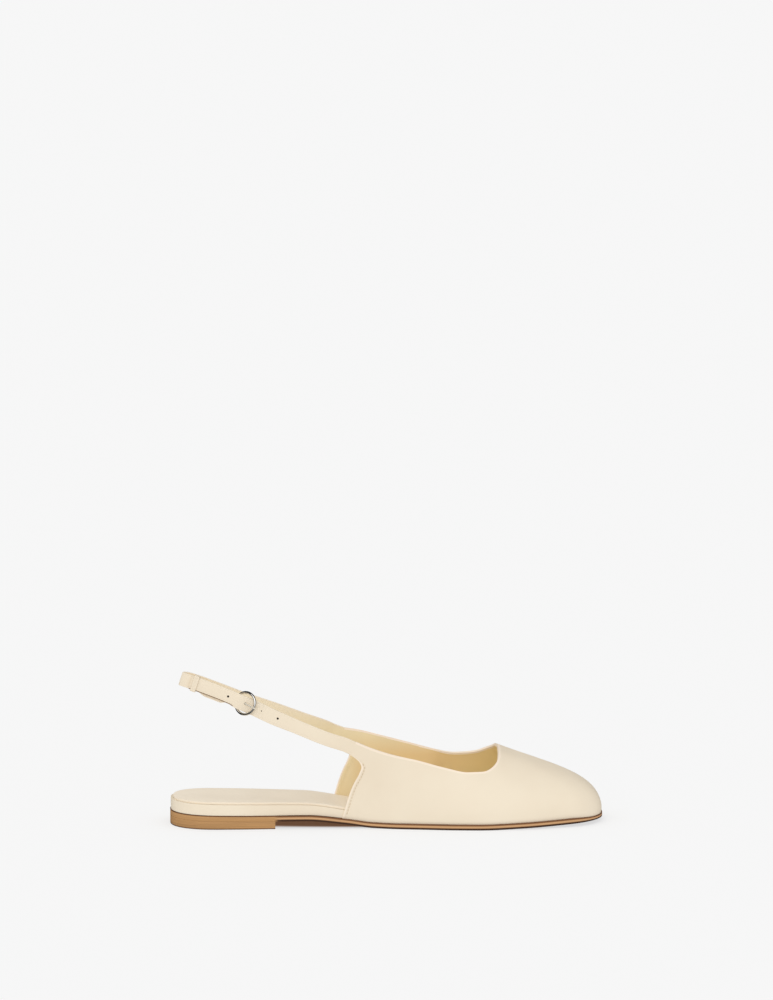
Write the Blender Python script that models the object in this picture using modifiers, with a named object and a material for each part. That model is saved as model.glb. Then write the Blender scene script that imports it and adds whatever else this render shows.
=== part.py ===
"""Sling back flat, right shoe, made of separate leather pieces and a round buckle.

While a piece is modelled, X runs from the back of the heel (0) to the toe tip,
-Y is the outer side of the foot, +Y its inner side, and Z is the height above
the floor. An empty then carries every piece, so that the finished shoe has its
origin on the floor, under the middle of its bounding box.
"""
import math

import bmesh
import bpy
from mathutils import Matrix
from mathutils import Vector

# Main form
length = 0.249
ball_width = 0.080
heel_length = 0.0605
heel_height = 0.0048
toe_spring = 0.0026
heel_round = 0.027
breast_step = 0.0040
toe_round = 0.021

# Layers under the foot
sole_thickness = 0.0031
footbed_heel_thickness = 0.0062
footbed_fore_thickness = 0.0024
footbed_inset = 0.0008
footbed_edge_round = 0.0012
footbed_step = 0.0060
sock_thickness = 0.0010
sock_inset = 0.0016

# Upper
upper_wall = 0.0016
upper_inset = 0.0008
instep_height = 0.0437
quarter_height = 0.0501
quarter_foot = 0.0978
inner_set_back = 0.0040
rear_edge_lean = 0.0050
feather_lean = 0.10
shortest_span = 0.0020

# Strap and buckle
strap_top = 0.0816
strap_width = 0.0080
strap_thickness = 0.0016
sling_thickness = 0.0012
fold_width = 0.0056
fold_length = 0.0125
tail_end = 0.0122
hole_diameter = 0.0018
hole_spacing = 0.0105
ring_diameter = 0.0142
ring_wire = 0.0015
ring_place = 0.0430
ring_tilt = math.radians(20)
prong_diameter = 0.0009
keeper_place = 0.0145
keeper_width = 0.0030
keeper_thickness = 0.0007

# Strap's way: lengths over which it leaves a quarter, leans, widens and steps over the buckle's bar
strap_lead = 0.0030
strap_blend = 0.0300
strap_taper = 0.0600
bar_clear = 0.0024
bar_ease = 0.0066
prong_bend = 0.0012

# Lower strap behind the buckle: how far it sinks below the tail, and the places where that starts and ends
sling_sink = 0.0015
sink_start = 0.0163
sink_end = 0.0223

# Gap between pieces that touch, and rounding of cut edges
gap = 0.0003
edge_break = 0.0003

half_ball = ball_width / 2

# Plan of the sole: share of the length; outer and inner half width as shares of half the ball width
plan_table = [
    (0.00, 0.70, 0.70),
    (0.15, 0.71, 0.70),
    (0.30, 0.68, 0.62),
    (0.42, 0.70, 0.57),
    (0.55, 0.83, 0.70),
    (0.66, 0.95, 0.92),
    (0.73, 0.98, 1.02),
    (0.82, 0.92, 1.03),
    (0.90, 0.78, 0.95),
    (0.96, 0.64, 0.82),
    (1.00, 0.54, 0.70),
]

# Lift of the sole's underside: share of the length; share of the heel height; share of the toe spring
lift_table = [
    (0.000, 1.06, 0.0),
    (0.242, 0.90, 0.0),
    (0.310, 0.90, 0.0),
    (0.400, 0.49, 0.0),
    (0.464, 0.08, 0.0),
    (0.520, 0.00, 0.0),
    (0.700, 0.00, 0.0),
    (0.800, 0.00, 0.24),
    (0.900, 0.00, 0.58),
    (1.000, 0.00, 1.0),
]

# Footbed: share of the length; 0 at the fore thickness, 1 at the heel thickness
footbed_table = [
    (0.00, 1.00),
    (0.20, 0.96),
    (0.30, 0.86),
    (0.38, 0.64),
    (0.48, 0.34),
    (0.60, 0.07),
    (0.70, 0.00),
    (1.00, 0.00),
]

# Ribs of the upper, outer side, rear edge to toe tip. Columns: run along the feather edge (0 rear, 1 tip);
# top end: share of the length, share of half the ball width, share of the way from instep to quarter height;
# handles at the feather edge and at the top end as shares of the chord; slope at the top end in degrees
outer_ribs = [
    (0.00, 0.424, -0.700, 1.00, 0.34, 0.34, 84),
    (0.07, 0.458, -0.732, 0.46, 0.34, 0.34, 84),
    (0.15, 0.505, -0.755, -0.12, 0.34, 0.34, 82),
    (0.25, 0.565, -0.785, -0.62, 0.34, 0.34, 80),
    (0.34, 0.625, -0.805, -1.26, 0.34, 0.34, 76),
    (0.42, 0.680, -0.800, -1.72, 0.34, 0.36, 70),
    (0.50, 0.716, -0.755, -1.72, 0.34, 0.38, 60),
    (0.60, 0.741, -0.670, -1.32, 0.34, 0.42, 47),
    (0.72, 0.754, -0.510, -0.74, 0.32, 0.46, 34),
    (0.86, 0.757, -0.260, -0.22, 0.285, 0.50, 24),
    (1.00, 0.758, 0.020, 0.00, 0.275, 0.50, 20),
]

# The same for the inner side, rear edge to toe tip
inner_ribs = [
    (0.00, 0.408, 0.708, 1.00, 0.34, 0.34, 84),
    (0.07, 0.445, 0.745, 0.72, 0.34, 0.34, 84),
    (0.15, 0.492, 0.775, 0.22, 0.34, 0.34, 82),
    (0.25, 0.555, 0.810, -0.47, 0.34, 0.34, 80),
    (0.34, 0.612, 0.830, -1.09, 0.34, 0.34, 76),
    (0.42, 0.664, 0.825, -1.43, 0.34, 0.36, 70),
    (0.50, 0.708, 0.770, -1.27, 0.34, 0.38, 58),
    (0.60, 0.735, 0.680, -0.875, 0.34, 0.42, 46),
    (0.72, 0.751, 0.520, -0.48, 0.32, 0.46, 34),
    (0.86, 0.756, 0.280, -0.14, 0.285, 0.50, 24),
    (1.00, 0.758, 0.020, 0.00, 0.275, 0.50, 20),
]

# Rear edge of a quarter: share of its height; forward set as a share of the rear edge's lean
rear_table = [
    (0.000, 0.00),
    (0.160, 0.42),
    (0.450, 0.80),
    (0.620, 1.10),
    (0.700, 1.14),
    (0.765, 0.80),
    (0.800, 0.22),
    (0.820, -0.34),
    (0.860, -0.28),
    (0.930, -0.15),
    (1.000, 0.00),
]

# Strap round the heel, inner side to outer side: share of the length; share of half the ball width;
# share of the strap's top height
strap_run = [
    (0.356, 0.592, 0.631),
    (0.311, 0.500, 0.686),
    (0.242, 0.372, 0.773),
    (0.174, 0.262, 0.852),
    (0.120, 0.186, 0.921),
    (0.068, 0.132, 0.985),
    (0.040, 0.098, 1.014),
    (0.0265, 0.020, 1.022),
    (0.040, -0.056, 1.011),
    (0.068, -0.092, 0.984),
    (0.120, -0.135, 0.925),
    (0.174, -0.210, 0.857),
    (0.242, -0.340, 0.766),
    (0.311, -0.474, 0.680),
    (0.360, -0.588, 0.627),
]


def follow(table, place, column):
    """Value of a table's column at a place, on a smooth curve that never overshoots its rows."""
    last = len(table) - 1
    place = min(max(place, table[0][0]), table[last][0])
    row = 0
    while row < last - 1 and place > table[row + 1][0]:
        row += 1

    def chord(i):
        return (table[i + 1][column] - table[i][column]) / (table[i + 1][0] - table[i][0])

    def slope(i):
        if i == 0 or i == last:
            return chord(min(i, last - 1))
        before, after = chord(i - 1), chord(i)
        if before * after <= 0:
            return 0.0
        return 2 * before * after / (before + after)

    width = table[row + 1][0] - table[row][0]
    t = (place - table[row][0]) / width
    start, end = table[row][column], table[row + 1][column]
    return (
        (2 * t**3 - 3 * t**2 + 1) * start
        + (t**3 - 2 * t**2 + t) * width * slope(row)
        + (3 * t**2 - 2 * t**3) * end
        + (t**3 - t**2) * width * slope(row + 1)
    )


def soft_step(value, start, end):
    """0 before start, 1 after end, smooth between."""
    t = min(max((value - start) / (end - start), 0.0), 1.0)
    return t * t * (3 - 2 * t)


def spread(start, end, count):
    """Count numbers, evenly spaced, with both ends."""
    return [start + (end - start) * i / (count - 1) for i in range(count)]


def smooth_run(points, count):
    """Points evenly spaced on a smooth curve through the given ones."""
    dense = []
    fine = 12
    for i in range(len(points) - 1):
        before = points[max(i - 1, 0)]
        start = points[i]
        end = points[i + 1]
        after = points[min(i + 2, len(points) - 1)]
        for step in range(fine):
            t = step / fine
            dense.append(
                0.5 * (
                    2 * start
                    + (end - before) * t
                    + (2 * before - 5 * start + 4 * end - after) * t**2
                    + (3 * start - 3 * end + after - before) * t**3
                )
            )
    dense.append(points[-1])
    return even_run(dense, count)


def even_run(points, count):
    """Points evenly spaced along a fine polyline."""
    reach = [0.0]
    for i in range(1, len(points)):
        reach.append(reach[-1] + (points[i] - points[i - 1]).length)
    return [point_on(points, reach, reach[-1] * i / (count - 1)) for i in range(count)]


def point_on(points, reach, distance):
    """Point of a polyline at a distance along it."""
    i = 1
    while i < len(points) - 1 and reach[i] < distance:
        i += 1
    step = reach[i] - reach[i - 1]
    t = (distance - reach[i - 1]) / step if step else 0.0
    return points[i - 1].lerp(points[i], t)


# Sole outline
heel_points = 7
side_points = 19
toe_points = 9
heel_squareness = 2.3
toe_squareness = 2.7


def outline_places():
    """Pairs of place along the shoe and share of the local width, heel tip to toe tip."""
    places = []
    for i in range(heel_points):
        turn = math.pi / 2 * i / heel_points
        back = 1 - math.cos(turn) ** (2 / heel_squareness)
        places.append((heel_round * back, math.sin(turn) ** (2 / heel_squareness)))
    for x in spread(heel_round, length - toe_round, side_points):
        places.append((x, 1.0))
    for i in range(toe_points - 1, -1, -1):
        turn = math.pi / 2 * i / toe_points
        front = 1 - math.cos(turn) ** (2 / toe_squareness)
        places.append((length - toe_round * front, math.sin(turn) ** (2 / toe_squareness)))
    return places


def middle_line(x):
    """Middle of the sole, across the shoe."""
    share = x / length
    return half_ball * (follow(plan_table, share, 2) - follow(plan_table, share, 1)) / 2


def outline(inset):
    """Closed plan outline, moved inwards by inset: heel tip, outer side, toe tip, inner side."""
    outer = []
    inner = []
    for x, cap in outline_places():
        share = x / length
        half = half_ball * (follow(plan_table, share, 1) + follow(plan_table, share, 2)) / 2 * cap
        outer.append(Vector((x, middle_line(x) - half, 0)))
        inner.append(Vector((x, middle_line(x) + half, 0)))
    loop = outer + inner[-2:0:-1]
    moved = []
    for i, point in enumerate(loop):
        along = (loop[(i + 1) % len(loop)] - loop[i - 1]).normalized()
        depth = inset(point.x) if callable(inset) else inset
        moved.append(point + Vector((-along.y, along.x, 0)) * depth)
    return moved


def sole_bottom(x):
    """Height of the outsole's underside."""
    share = x / length
    return heel_height * follow(lift_table, share, 1) + toe_spring * follow(lift_table, share, 2)


def sole_top(x):
    """Height of the outsole's upper face."""
    return sole_bottom(x) + sole_thickness


def footbed_bottom(x):
    """Height of the footbed's underside."""
    return sole_top(x) + gap


def footbed_top(x):
    """Height of the footbed's upper face."""
    extra = footbed_heel_thickness - footbed_fore_thickness
    return footbed_bottom(x) + footbed_fore_thickness + extra * follow(footbed_table, x / length, 1)


def sock_bottom(x):
    """Height of the insole's underside."""
    return footbed_top(x) + gap


def sock_top(x):
    """Height of the insole's upper face, where the foot rests."""
    return sock_bottom(x) + sock_thickness


footbed_clear = quarter_foot - inner_set_back - shortest_span


def footbed_depth(x):
    """The footbed's distance inside the sole's outline: flush at the open heel, inside the upper in front."""
    inside = upper_inset + upper_wall + gap * 2
    forward = soft_step(x, footbed_clear - footbed_step, footbed_clear)
    return footbed_inset + (inside - footbed_inset) * forward


def sock_depth(x):
    """The insole's distance inside the sole's outline."""
    return footbed_depth(x) + sock_inset


# Scene
weld = 0.000001


def clear_scene():
    """Remove whatever the file holds."""
    for item in list(bpy.data.objects):
        bpy.data.objects.remove(item, do_unlink=True)


def new_collection(name):
    """A collection of this name in the scene."""
    group = bpy.data.collections.new(name)
    bpy.context.scene.collection.children.link(group)
    return group


def finish_material(name, colour, roughness, metallic=0.0):
    """A Principled material."""
    material = bpy.data.materials.new(name)
    material.use_nodes = True
    shader = material.node_tree.nodes["Principled BSDF"]
    shader.inputs["Base Color"].default_value = (*colour, 1.0)
    shader.inputs["Roughness"].default_value = roughness
    shader.inputs["Metallic"].default_value = metallic
    return material


def put_object(name, mesh, group, material):
    """Place a finished mesh in the scene under its node's name."""
    item = bpy.data.objects.new(name, mesh)
    group.objects.link(item)
    if material:
        mesh.materials.append(material)
        mesh.shade_smooth()
        mesh.set_sharp_from_angle(angle=math.radians(40))
    return item


def mesh_of(name, form):
    """Turn an edited form into a mesh."""
    mesh = bpy.data.meshes.new(name)
    form.to_mesh(mesh)
    form.free()
    return mesh


# Flat layers
def layer_mesh(name, inset, bottom, top):
    """A slab on the sole's outline: rings drawn towards the middle line, then raised to the top height."""
    loop = outline(inset)
    rings = (1.0, 0.55, 0.0)
    spine_start = 0.8
    first = heel_round * spine_start
    last = length - toe_round * spine_start
    form = bmesh.new()
    grid = []
    for share in rings:
        ring = []
        for point in loop:
            x = min(max(point.x, first), last)
            spine = Vector((x, middle_line(x), 0))
            place = spine.lerp(point, share)
            ring.append(form.verts.new((place.x, place.y, bottom(place.x))))
        grid.append(ring)
    count = len(loop)
    for outer, inner in zip(grid, grid[1:]):
        for i in range(count):
            form.faces.new((outer[i], outer[(i + 1) % count], inner[(i + 1) % count], inner[i]))
    bmesh.ops.remove_doubles(form, verts=form.verts[:], dist=weld)
    raised = bmesh.ops.extrude_face_region(form, geom=form.faces[:])["geom"]
    for vert in raised:
        if isinstance(vert, bmesh.types.BMVert):
            vert.co.z = top(vert.co.x)
    bmesh.ops.recalc_face_normals(form, faces=form.faces[:])
    return mesh_of(name, form)


def bevel(item, width, segments):
    """Round the sharp edges."""
    tool = item.modifiers.new("edge", "BEVEL")
    tool.width = width
    tool.segments = segments
    tool.limit_method = "ANGLE"
    tool.angle_limit = math.radians(50)


def make_outsole(group):
    """One tan leather sole from heel to toe."""
    material = finish_material("sole_leather", (0.50, 0.30, 0.14), 0.5)
    mesh = layer_mesh("outsole", 0.0, sole_bottom, sole_top)
    item = put_object("outsole", mesh, group, material)
    bevel(item, edge_break, 1)
    return item


def make_heel(group):
    """Low stacked block under the back of the sole, with a flat breast."""
    material = finish_material("heel_stack", (0.44, 0.26, 0.12), 0.5)
    form = bmesh.new()
    places = [point for point in outline(0.0) if point.x < heel_length - breast_step]
    outer = [point for point in places if point.y <= middle_line(point.x)]
    inner = [point for point in places if point.y > middle_line(point.x)]
    inner.sort(key=lambda point: -point.x)
    share = heel_length / length
    corners = [
        Vector((heel_length, -half_ball * follow(plan_table, share, 1), 0)),
        Vector((heel_length, half_ball * follow(plan_table, share, 2), 0)),
    ]
    base = form.faces.new([form.verts.new(point) for point in outer + corners + inner])
    raised = bmesh.ops.extrude_face_region(form, geom=[base])["geom"]
    for vert in raised:
        if isinstance(vert, bmesh.types.BMVert):
            vert.co.z = sole_bottom(vert.co.x) - gap
    bmesh.ops.recalc_face_normals(form, faces=form.faces[:])
    item = put_object("heel", mesh_of("heel", form), group, material)
    bevel(item, edge_break, 1)
    return item


def make_footbed(group):
    """Cream wrapped board: a thick rounded edge at the open heel, thin inside the upper."""
    material = finish_material("footbed_leather", (0.87, 0.77, 0.60), 0.42)
    mesh = layer_mesh("footbed", footbed_depth, footbed_bottom, footbed_top)
    item = put_object("footbed", mesh, group, material)
    bevel(item, footbed_edge_round, 2)
    return item


def make_insole(group):
    """Thin leather sock on the footbed."""
    material = finish_material("sock_leather", (0.72, 0.63, 0.48), 0.55)
    mesh = layer_mesh("insole", sock_depth, sock_bottom, sock_top)
    item = put_object("insole", mesh, group, material)
    bevel(item, edge_break, 1)
    return item


# Upper
rib_count = 27
corner_share = 0.82
row_places = (0.0, 0.08, 0.16, 0.26, 0.37, 0.48, 0.58, 0.65, 0.70, 0.74, 0.77, 0.80, corner_share, 0.86, 0.93, 1.0)


def feather_run(side):
    """The upper's bottom edge in plan, from a quarter's rear edge to the toe tip."""
    loop = outline(upper_inset)
    tip = max(range(len(loop)), key=lambda i: loop[i].x)
    half = loop[: tip + 1] if side < 0 else [loop[0]] + loop[:tip - 1:-1]
    start = quarter_foot - (inner_set_back if side > 0 else 0.0)
    front = [point for point in half if point.x > start + shortest_span]
    before = [point for point in half if point.x <= start][-1]
    t = (start - before.x) / (front[0].x - before.x)
    return [before.lerp(front[0], t)] + front


def rib(side, run):
    """Start, two handles and end of one rib of the upper, as a cubic curve."""
    table = outer_ribs if side < 0 else inner_ribs
    foot_line = feather_run(side)
    reach = [0.0]
    for i in range(1, len(foot_line)):
        reach.append(reach[-1] + (foot_line[i] - foot_line[i - 1]).length)
    foot = point_on(foot_line, reach, reach[-1] * run)
    foot.z = sole_top(foot.x) + gap
    rise = instep_height + (quarter_height - instep_height) * follow(table, run, 3)
    end = Vector((length * follow(table, run, 1), half_ball * follow(table, run, 2), rise))
    chord = (end - foot).length
    flat = Vector((foot.x - end.x, foot.y - end.y, 0)).normalized()
    slope = math.radians(follow(table, run, 6))
    outward = flat * math.cos(slope) + Vector((0, 0, -1)) * math.sin(slope)
    low = foot + (Vector((0, 0, 1)) + flat * feather_lean) * chord * follow(table, run, 4)
    high = end + outward * chord * follow(table, run, 5)
    return foot, low, high, end


def on_rib(handles, share):
    """Point of a rib's cubic curve."""
    foot, low, high, end = handles
    rest = 1 - share
    return foot * rest**3 + low * 3 * rest**2 * share + high * 3 * rest * share**2 + end * share**3


def rib_points(side, run):
    """Points up one rib; near the rear each is slid along the surface by the rear edge's own lean."""
    here = rib(side, run)
    near = rib(side, run + 0.02)
    lean_run = 0.16
    fade = 1 - soft_step(run, 0.0, lean_run)
    points = []
    for share in row_places:
        point = on_rib(here, share)
        if fade > 0:
            forward = (on_rib(near, share) - point).normalized()
            point += forward / forward.x * rear_edge_lean * follow(rear_table, share, 1) * fade
        points.append(point)
    return points


def upper_sheet():
    """Outer face of the upper as rows of points, outer quarter round the toe to the inner quarter."""
    columns = []
    runs = spread(0.0, 1.0, rib_count)
    for run in runs:
        columns.append(rib_points(-1, run))
    for run in reversed(runs[:-1]):
        columns.append(rib_points(1, run))
    return columns


def grid_mesh(name, columns):
    """An open sheet of four-sided faces through columns of points."""
    form = bmesh.new()
    verts = [[form.verts.new(point) for point in column] for column in columns]
    for left, right in zip(verts, verts[1:]):
        for i in range(len(left) - 1):
            form.faces.new((left[i], right[i], right[i + 1], left[i + 1]))
    return mesh_of(name, form)


def thicken(item, thickness, offset):
    """Give a sheet its wall."""
    tool = item.modifiers.new("wall", "SOLIDIFY")
    tool.thickness = thickness
    tool.offset = offset
    tool.use_even_offset = True
    return tool


def make_upper(group):
    """Vamp and quarters in one lined leather shell, open at the throat, the back and underneath."""
    material = finish_material("upper_leather", (0.89, 0.79, 0.61), 0.36)
    item = put_object("upper", grid_mesh("upper", upper_sheet()), group, material)
    thicken(item, upper_wall, -1.0)
    return item


# Strap
run_count = 141
holed_stations = 66
sling_stations = 96
fold_turn_stations = 9
fold_back_stations = 11
holes_behind = 1
holes_in_front = 2
strap_lean = Vector((0.31, 0.0, 0.95))


def quarter_end(side):
    """Middle of the wall where a strap leaves its quarter, direction up, way out and width."""
    rear_edge = rib_points(side, 0.0)
    top = rear_edge[-1]
    low = rear_edge[row_places.index(corner_share)]
    ahead = rib(side, 0.05)[3]
    up = (top - low).normalized()
    face = (ahead - top).cross(up).normalized()
    if face.y * side < 0:
        face.negate()
    away = up.cross(face).normalized()
    if away.x > 0:
        away.negate()
    return (top + low) / 2 - face * upper_wall / 2, up, away, (top - low).length


class Run:
    """Middle line of the strap from the inner quarter round the back to the outer quarter."""

    def __init__(self):
        first, self.first_up, first_way, self.first_width = quarter_end(1)
        last, self.last_up, last_way, self.last_width = quarter_end(-1)
        leads = (gap, strap_lead, strap_lead * 2)
        points = [first + first_way * lead for lead in leads]
        for x, y, z in strap_run:
            points.append(Vector((length * x, half_ball * y, strap_top * z)))
        points += [last + last_way * lead for lead in reversed(leads)]
        self.points = smooth_run(points, run_count)
        self.step = (self.points[1] - self.points[0]).length
        self.end = self.step * (run_count - 1)

    def place(self, distance):
        """Point of the line; it goes on straight past its ends."""
        index = min(max(distance / self.step, 0.0), run_count - 1.0)
        low = min(int(index), run_count - 2)
        return self.points[low].lerp(self.points[low + 1], index - low)

    def frame(self, distance):
        """Point, direction along, direction up and direction outwards at a distance along the line."""
        reach = 2 * self.step
        along = (self.place(distance + reach) - self.place(distance - reach)).normalized()
        lean = strap_lean.normalized()
        lean = self.first_up.lerp(lean, soft_step(distance, 0.0, strap_blend))
        lean = lean.lerp(self.last_up, soft_step(distance, self.end - strap_blend, self.end))
        up = (lean - along * lean.dot(along)).normalized()
        return self.place(distance), along, up, along.cross(up)

    def width(self, distance):
        """Width of the strap at a distance along the line."""
        wide = self.first_width + (strap_width - self.first_width) * soft_step(distance, 0.0, strap_taper)
        return wide + (self.last_width - wide) * soft_step(distance, self.end - strap_taper, self.end)

    def outer_side(self, x):
        """Distance along the line of the point at x on the outer side."""
        distance = self.end
        while self.place(distance).x > x:
            distance -= self.step / 20
        return distance


def ribbon(name, stations):
    """A strap's sheet through stations of place, up direction and width."""
    columns = []
    for place, up, width in stations:
        columns.append([place + up * width * share for share in (-0.5, 0.0, 0.5)])
    return grid_mesh(name, columns)


# Buckle, set out along the strap (along), across it (up) and away from the foot (outwards)
ring_radius = (ring_diameter - ring_wire) / 2
over_strap = strap_thickness / 2 + gap + ring_wire / 2
edge_reach = math.sqrt(ring_radius**2 - (strap_width / 2 + gap) ** 2)
ring_middle_out = over_strap - math.sin(ring_tilt) * edge_reach
bar_along = -ring_radius * math.cos(ring_tilt)
bar_out = ring_middle_out - ring_radius * math.sin(ring_tilt)
far_along = -bar_along
far_out = ring_middle_out + ring_radius * math.sin(ring_tilt)
bar_sag = ring_radius - math.sqrt(ring_radius**2 - (fold_width / 2) ** 2)
fold_radius = ring_wire / 2 + gap + bar_sag * math.sin(ring_tilt) + sling_thickness / 2
fold_out = bar_out + fold_radius
tail_over = sling_thickness / 2 + gap + strap_thickness / 2


def sling_out(beside):
    """Outward shift of the sling strap at a distance beside the ring's middle, rear side negative."""
    return fold_out * soft_step(beside, bar_along - bar_clear - bar_ease, bar_along - bar_clear)


def holed_out(beside):
    """Outward shift of the holed strap: under the ring's front, over its bar, on the sling strap behind."""
    over_bar = fold_out + tail_over
    drop = soft_step(beside, bar_along + ring_wire, edge_reach - ring_wire * 0.7)
    behind = 1 - soft_step(beside, bar_along - bar_clear - bar_ease, bar_along - bar_clear)
    return over_bar * (1 - drop) + (tail_over - over_bar) * behind


def make_holed_strap(group, run):
    """Strap from the outer quarter under the ring's front, over its bar and back along the sling strap."""
    material = finish_material("strap_leather", (0.89, 0.79, 0.61), 0.38)
    middle = run.outer_side(ring_place)
    start = run.outer_side(tail_end)
    stations = []
    for distance in spread(start, run.end, holed_stations):
        place, along, up, out = run.frame(distance)
        stations.append((place + out * holed_out(distance - middle), up, run.width(distance)))
    item = put_object("holed_strap", ribbon("holed_strap", stations), group, material)
    thicken(item, strap_thickness, 0.0)
    return item


def take_cutter(name, group):
    """Name the newest object a cutter and keep it out of sight."""
    cutter = bpy.context.object
    cutter.name = name
    for owner in list(cutter.users_collection):
        owner.objects.unlink(cutter)
    group.objects.link(cutter)
    cutter.display_type = "WIRE"
    cutter.hide_render = True
    return cutter


def make_hole_cutters(group, run):
    """One cutter for each hole: one behind the ring, one at the prong, two in front."""
    middle = run.outer_side(ring_place)
    cutters = []
    for number in range(-holes_behind, holes_in_front + 1):
        distance = middle + number * hole_spacing
        place, along, up, out = run.frame(distance)
        beside = distance - middle
        rise = holed_out(beside + gap) - holed_out(beside - gap)
        through = (out * 2 * gap - along * rise).normalized()
        bpy.ops.mesh.primitive_cylinder_add(
            vertices=14,
            radius=hole_diameter / 2,
            depth=strap_thickness * 3,
            location=place + out * holed_out(beside),
            rotation=through.to_track_quat("Z", "X").to_euler(),
        )
        cutters.append(take_cutter(f"hole_cutter_{number + holes_behind + 1}", group))
    return cutters


def cut(item, cutter):
    """Take the cutter's shape out of a piece."""
    tool = item.modifiers.new(cutter.name, "BOOLEAN")
    tool.operation = "DIFFERENCE"
    tool.solver = "EXACT"
    tool.object = cutter


def make_sling_strap(group, run):
    """Strap from the inner quarter round the back, its end folded round the ring's bar."""
    material = finish_material("sling_leather", (0.89, 0.79, 0.61), 0.38)
    middle = run.outer_side(ring_place)
    bend = middle + bar_along + bar_sag
    sink_from = run.outer_side(sink_start)
    sink_to = run.outer_side(sink_end)
    stations = []
    for distance in spread(0.0, bend, sling_stations):
        place, along, up, out = run.frame(distance)
        narrow = soft_step(distance - bend, -bar_clear - bar_ease, -bar_clear)
        width = run.width(distance) * (1 - narrow) + fold_width * narrow
        sink = sling_sink * soft_step(distance, sink_from, sink_to) * (1 - narrow)
        stations.append((place - up * sink + out * sling_out(distance - middle), up, width))
    place, along, up, out = run.frame(bend)
    for turn in spread(0.0, math.pi, fold_turn_stations)[1:]:
        moved = along * math.sin(turn) * fold_radius + out * (bar_out + math.cos(turn) * fold_radius)
        stations.append((place + moved, up, fold_width))
    for back in spread(0.0, fold_length, fold_back_stations)[1:]:
        place, along, up, out = run.frame(bend - back)
        under = sling_out(bend - back - middle) - sling_thickness - gap
        low = bar_out - fold_radius
        shift = low + (under - low) * soft_step(back, bar_clear, bar_clear + bar_ease)
        stations.append((place + out * shift, up, fold_width))
    item = put_object("sling_strap", ribbon("sling_strap", stations), group, material)
    thicken(item, sling_thickness, 0.0)
    return item


def buckle_place(run):
    """Point and directions at the ring's middle."""
    return run.frame(run.outer_side(ring_place))


def frame_turn(along, out):
    """Rotation whose X runs along the first direction and Z along the second."""
    across = out.cross(along).normalized()
    return Matrix((along, across, out)).transposed().to_4x4()


def make_slot_cutter(group, run):
    """Cutter of the slot in the fold, where the prong's eye turns on the bar."""
    place, along, up, out = buckle_place(run)
    slot_width = prong_diameter + gap * 3
    eye = ring_wire / 2 + gap + prong_diameter
    rear = bar_along - eye - gap * 2
    front = bar_along + bar_sag + fold_radius + sling_thickness
    high = bar_out + fold_radius + sling_thickness
    low = bar_out - fold_radius - sling_thickness
    bpy.ops.mesh.primitive_cube_add(size=1.0)
    cutter = take_cutter("slot_cutter", group)
    centre = place + along * (rear + front) / 2 + out * (high + low) / 2
    cutter.data.transform(Matrix.Diagonal((front - rear, slot_width, high - low, 1.0)))
    cutter.matrix_world = Matrix.Translation(centre) @ frame_turn(along, out)
    return cutter


def make_ring(group, run):
    """Round polished ring, its front over the strap and its bar under it."""
    material = finish_material("buckle_metal", (0.72, 0.72, 0.74), 0.12, 1.0)
    place, along, up, out = buckle_place(run)
    reach = (along * math.cos(ring_tilt) + out * math.sin(ring_tilt)).normalized()
    normal = (out * math.cos(ring_tilt) - along * math.sin(ring_tilt)).normalized()
    bpy.ops.mesh.primitive_torus_add(
        major_segments=40,
        minor_segments=10,
        major_radius=ring_radius,
        minor_radius=ring_wire / 2,
    )
    item = bpy.context.object
    mesh = item.data
    bpy.data.objects.remove(item)
    mesh.transform(Matrix.Translation(place + out * ring_middle_out) @ frame_turn(reach, normal))
    return put_object("buckle_ring", mesh, group, material)


def prong_route():
    """Prong from its eye on the bar, under the strap, up through the hole and onto the ring's front."""
    eye = ring_wire / 2 + gap + prong_diameter / 2
    clear = strap_thickness / 2 + gap + prong_diameter / 2
    route = []
    for turn in spread(math.radians(300), math.radians(100), 9):
        route.append((bar_along + eye * math.cos(turn), bar_out + eye * math.sin(turn)))
    steep = prong_bend / 6
    for beside in (-2.5 * prong_bend, -prong_bend):
        route.append((beside, holed_out(beside) - clear))
    route.append((-steep, holed_out(0.0) - clear * 0.72))
    route.append((0.0, holed_out(0.0)))
    route.append((steep, holed_out(0.0) + clear * 0.72))
    route.append((prong_bend, holed_out(prong_bend) + clear))
    rest = far_out + eye
    route.append((far_along, rest))
    route.append((far_along + prong_bend, rest - gap))
    return route


def make_prong(group, run):
    """Thin prong of the buckle."""
    material = finish_material("prong_metal", (0.72, 0.72, 0.74), 0.12, 1.0)
    place, along, up, out = buckle_place(run)
    points = [place + along * beside + out * lift for beside, lift in prong_route()]
    points = smooth_run(points, 46)
    data = bpy.data.curves.new("prong", "CURVE")
    data.dimensions = "3D"
    data.bevel_depth = prong_diameter / 2
    data.bevel_resolution = 2
    data.use_fill_caps = True
    spline = data.splines.new("POLY")
    spline.points.add(len(points) - 1)
    for target, point in zip(spline.points, points):
        target.co = (*point, 1.0)
    item = bpy.data.objects.new("buckle_prong", data)
    group.objects.link(item)
    data.materials.append(material)
    return item


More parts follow.
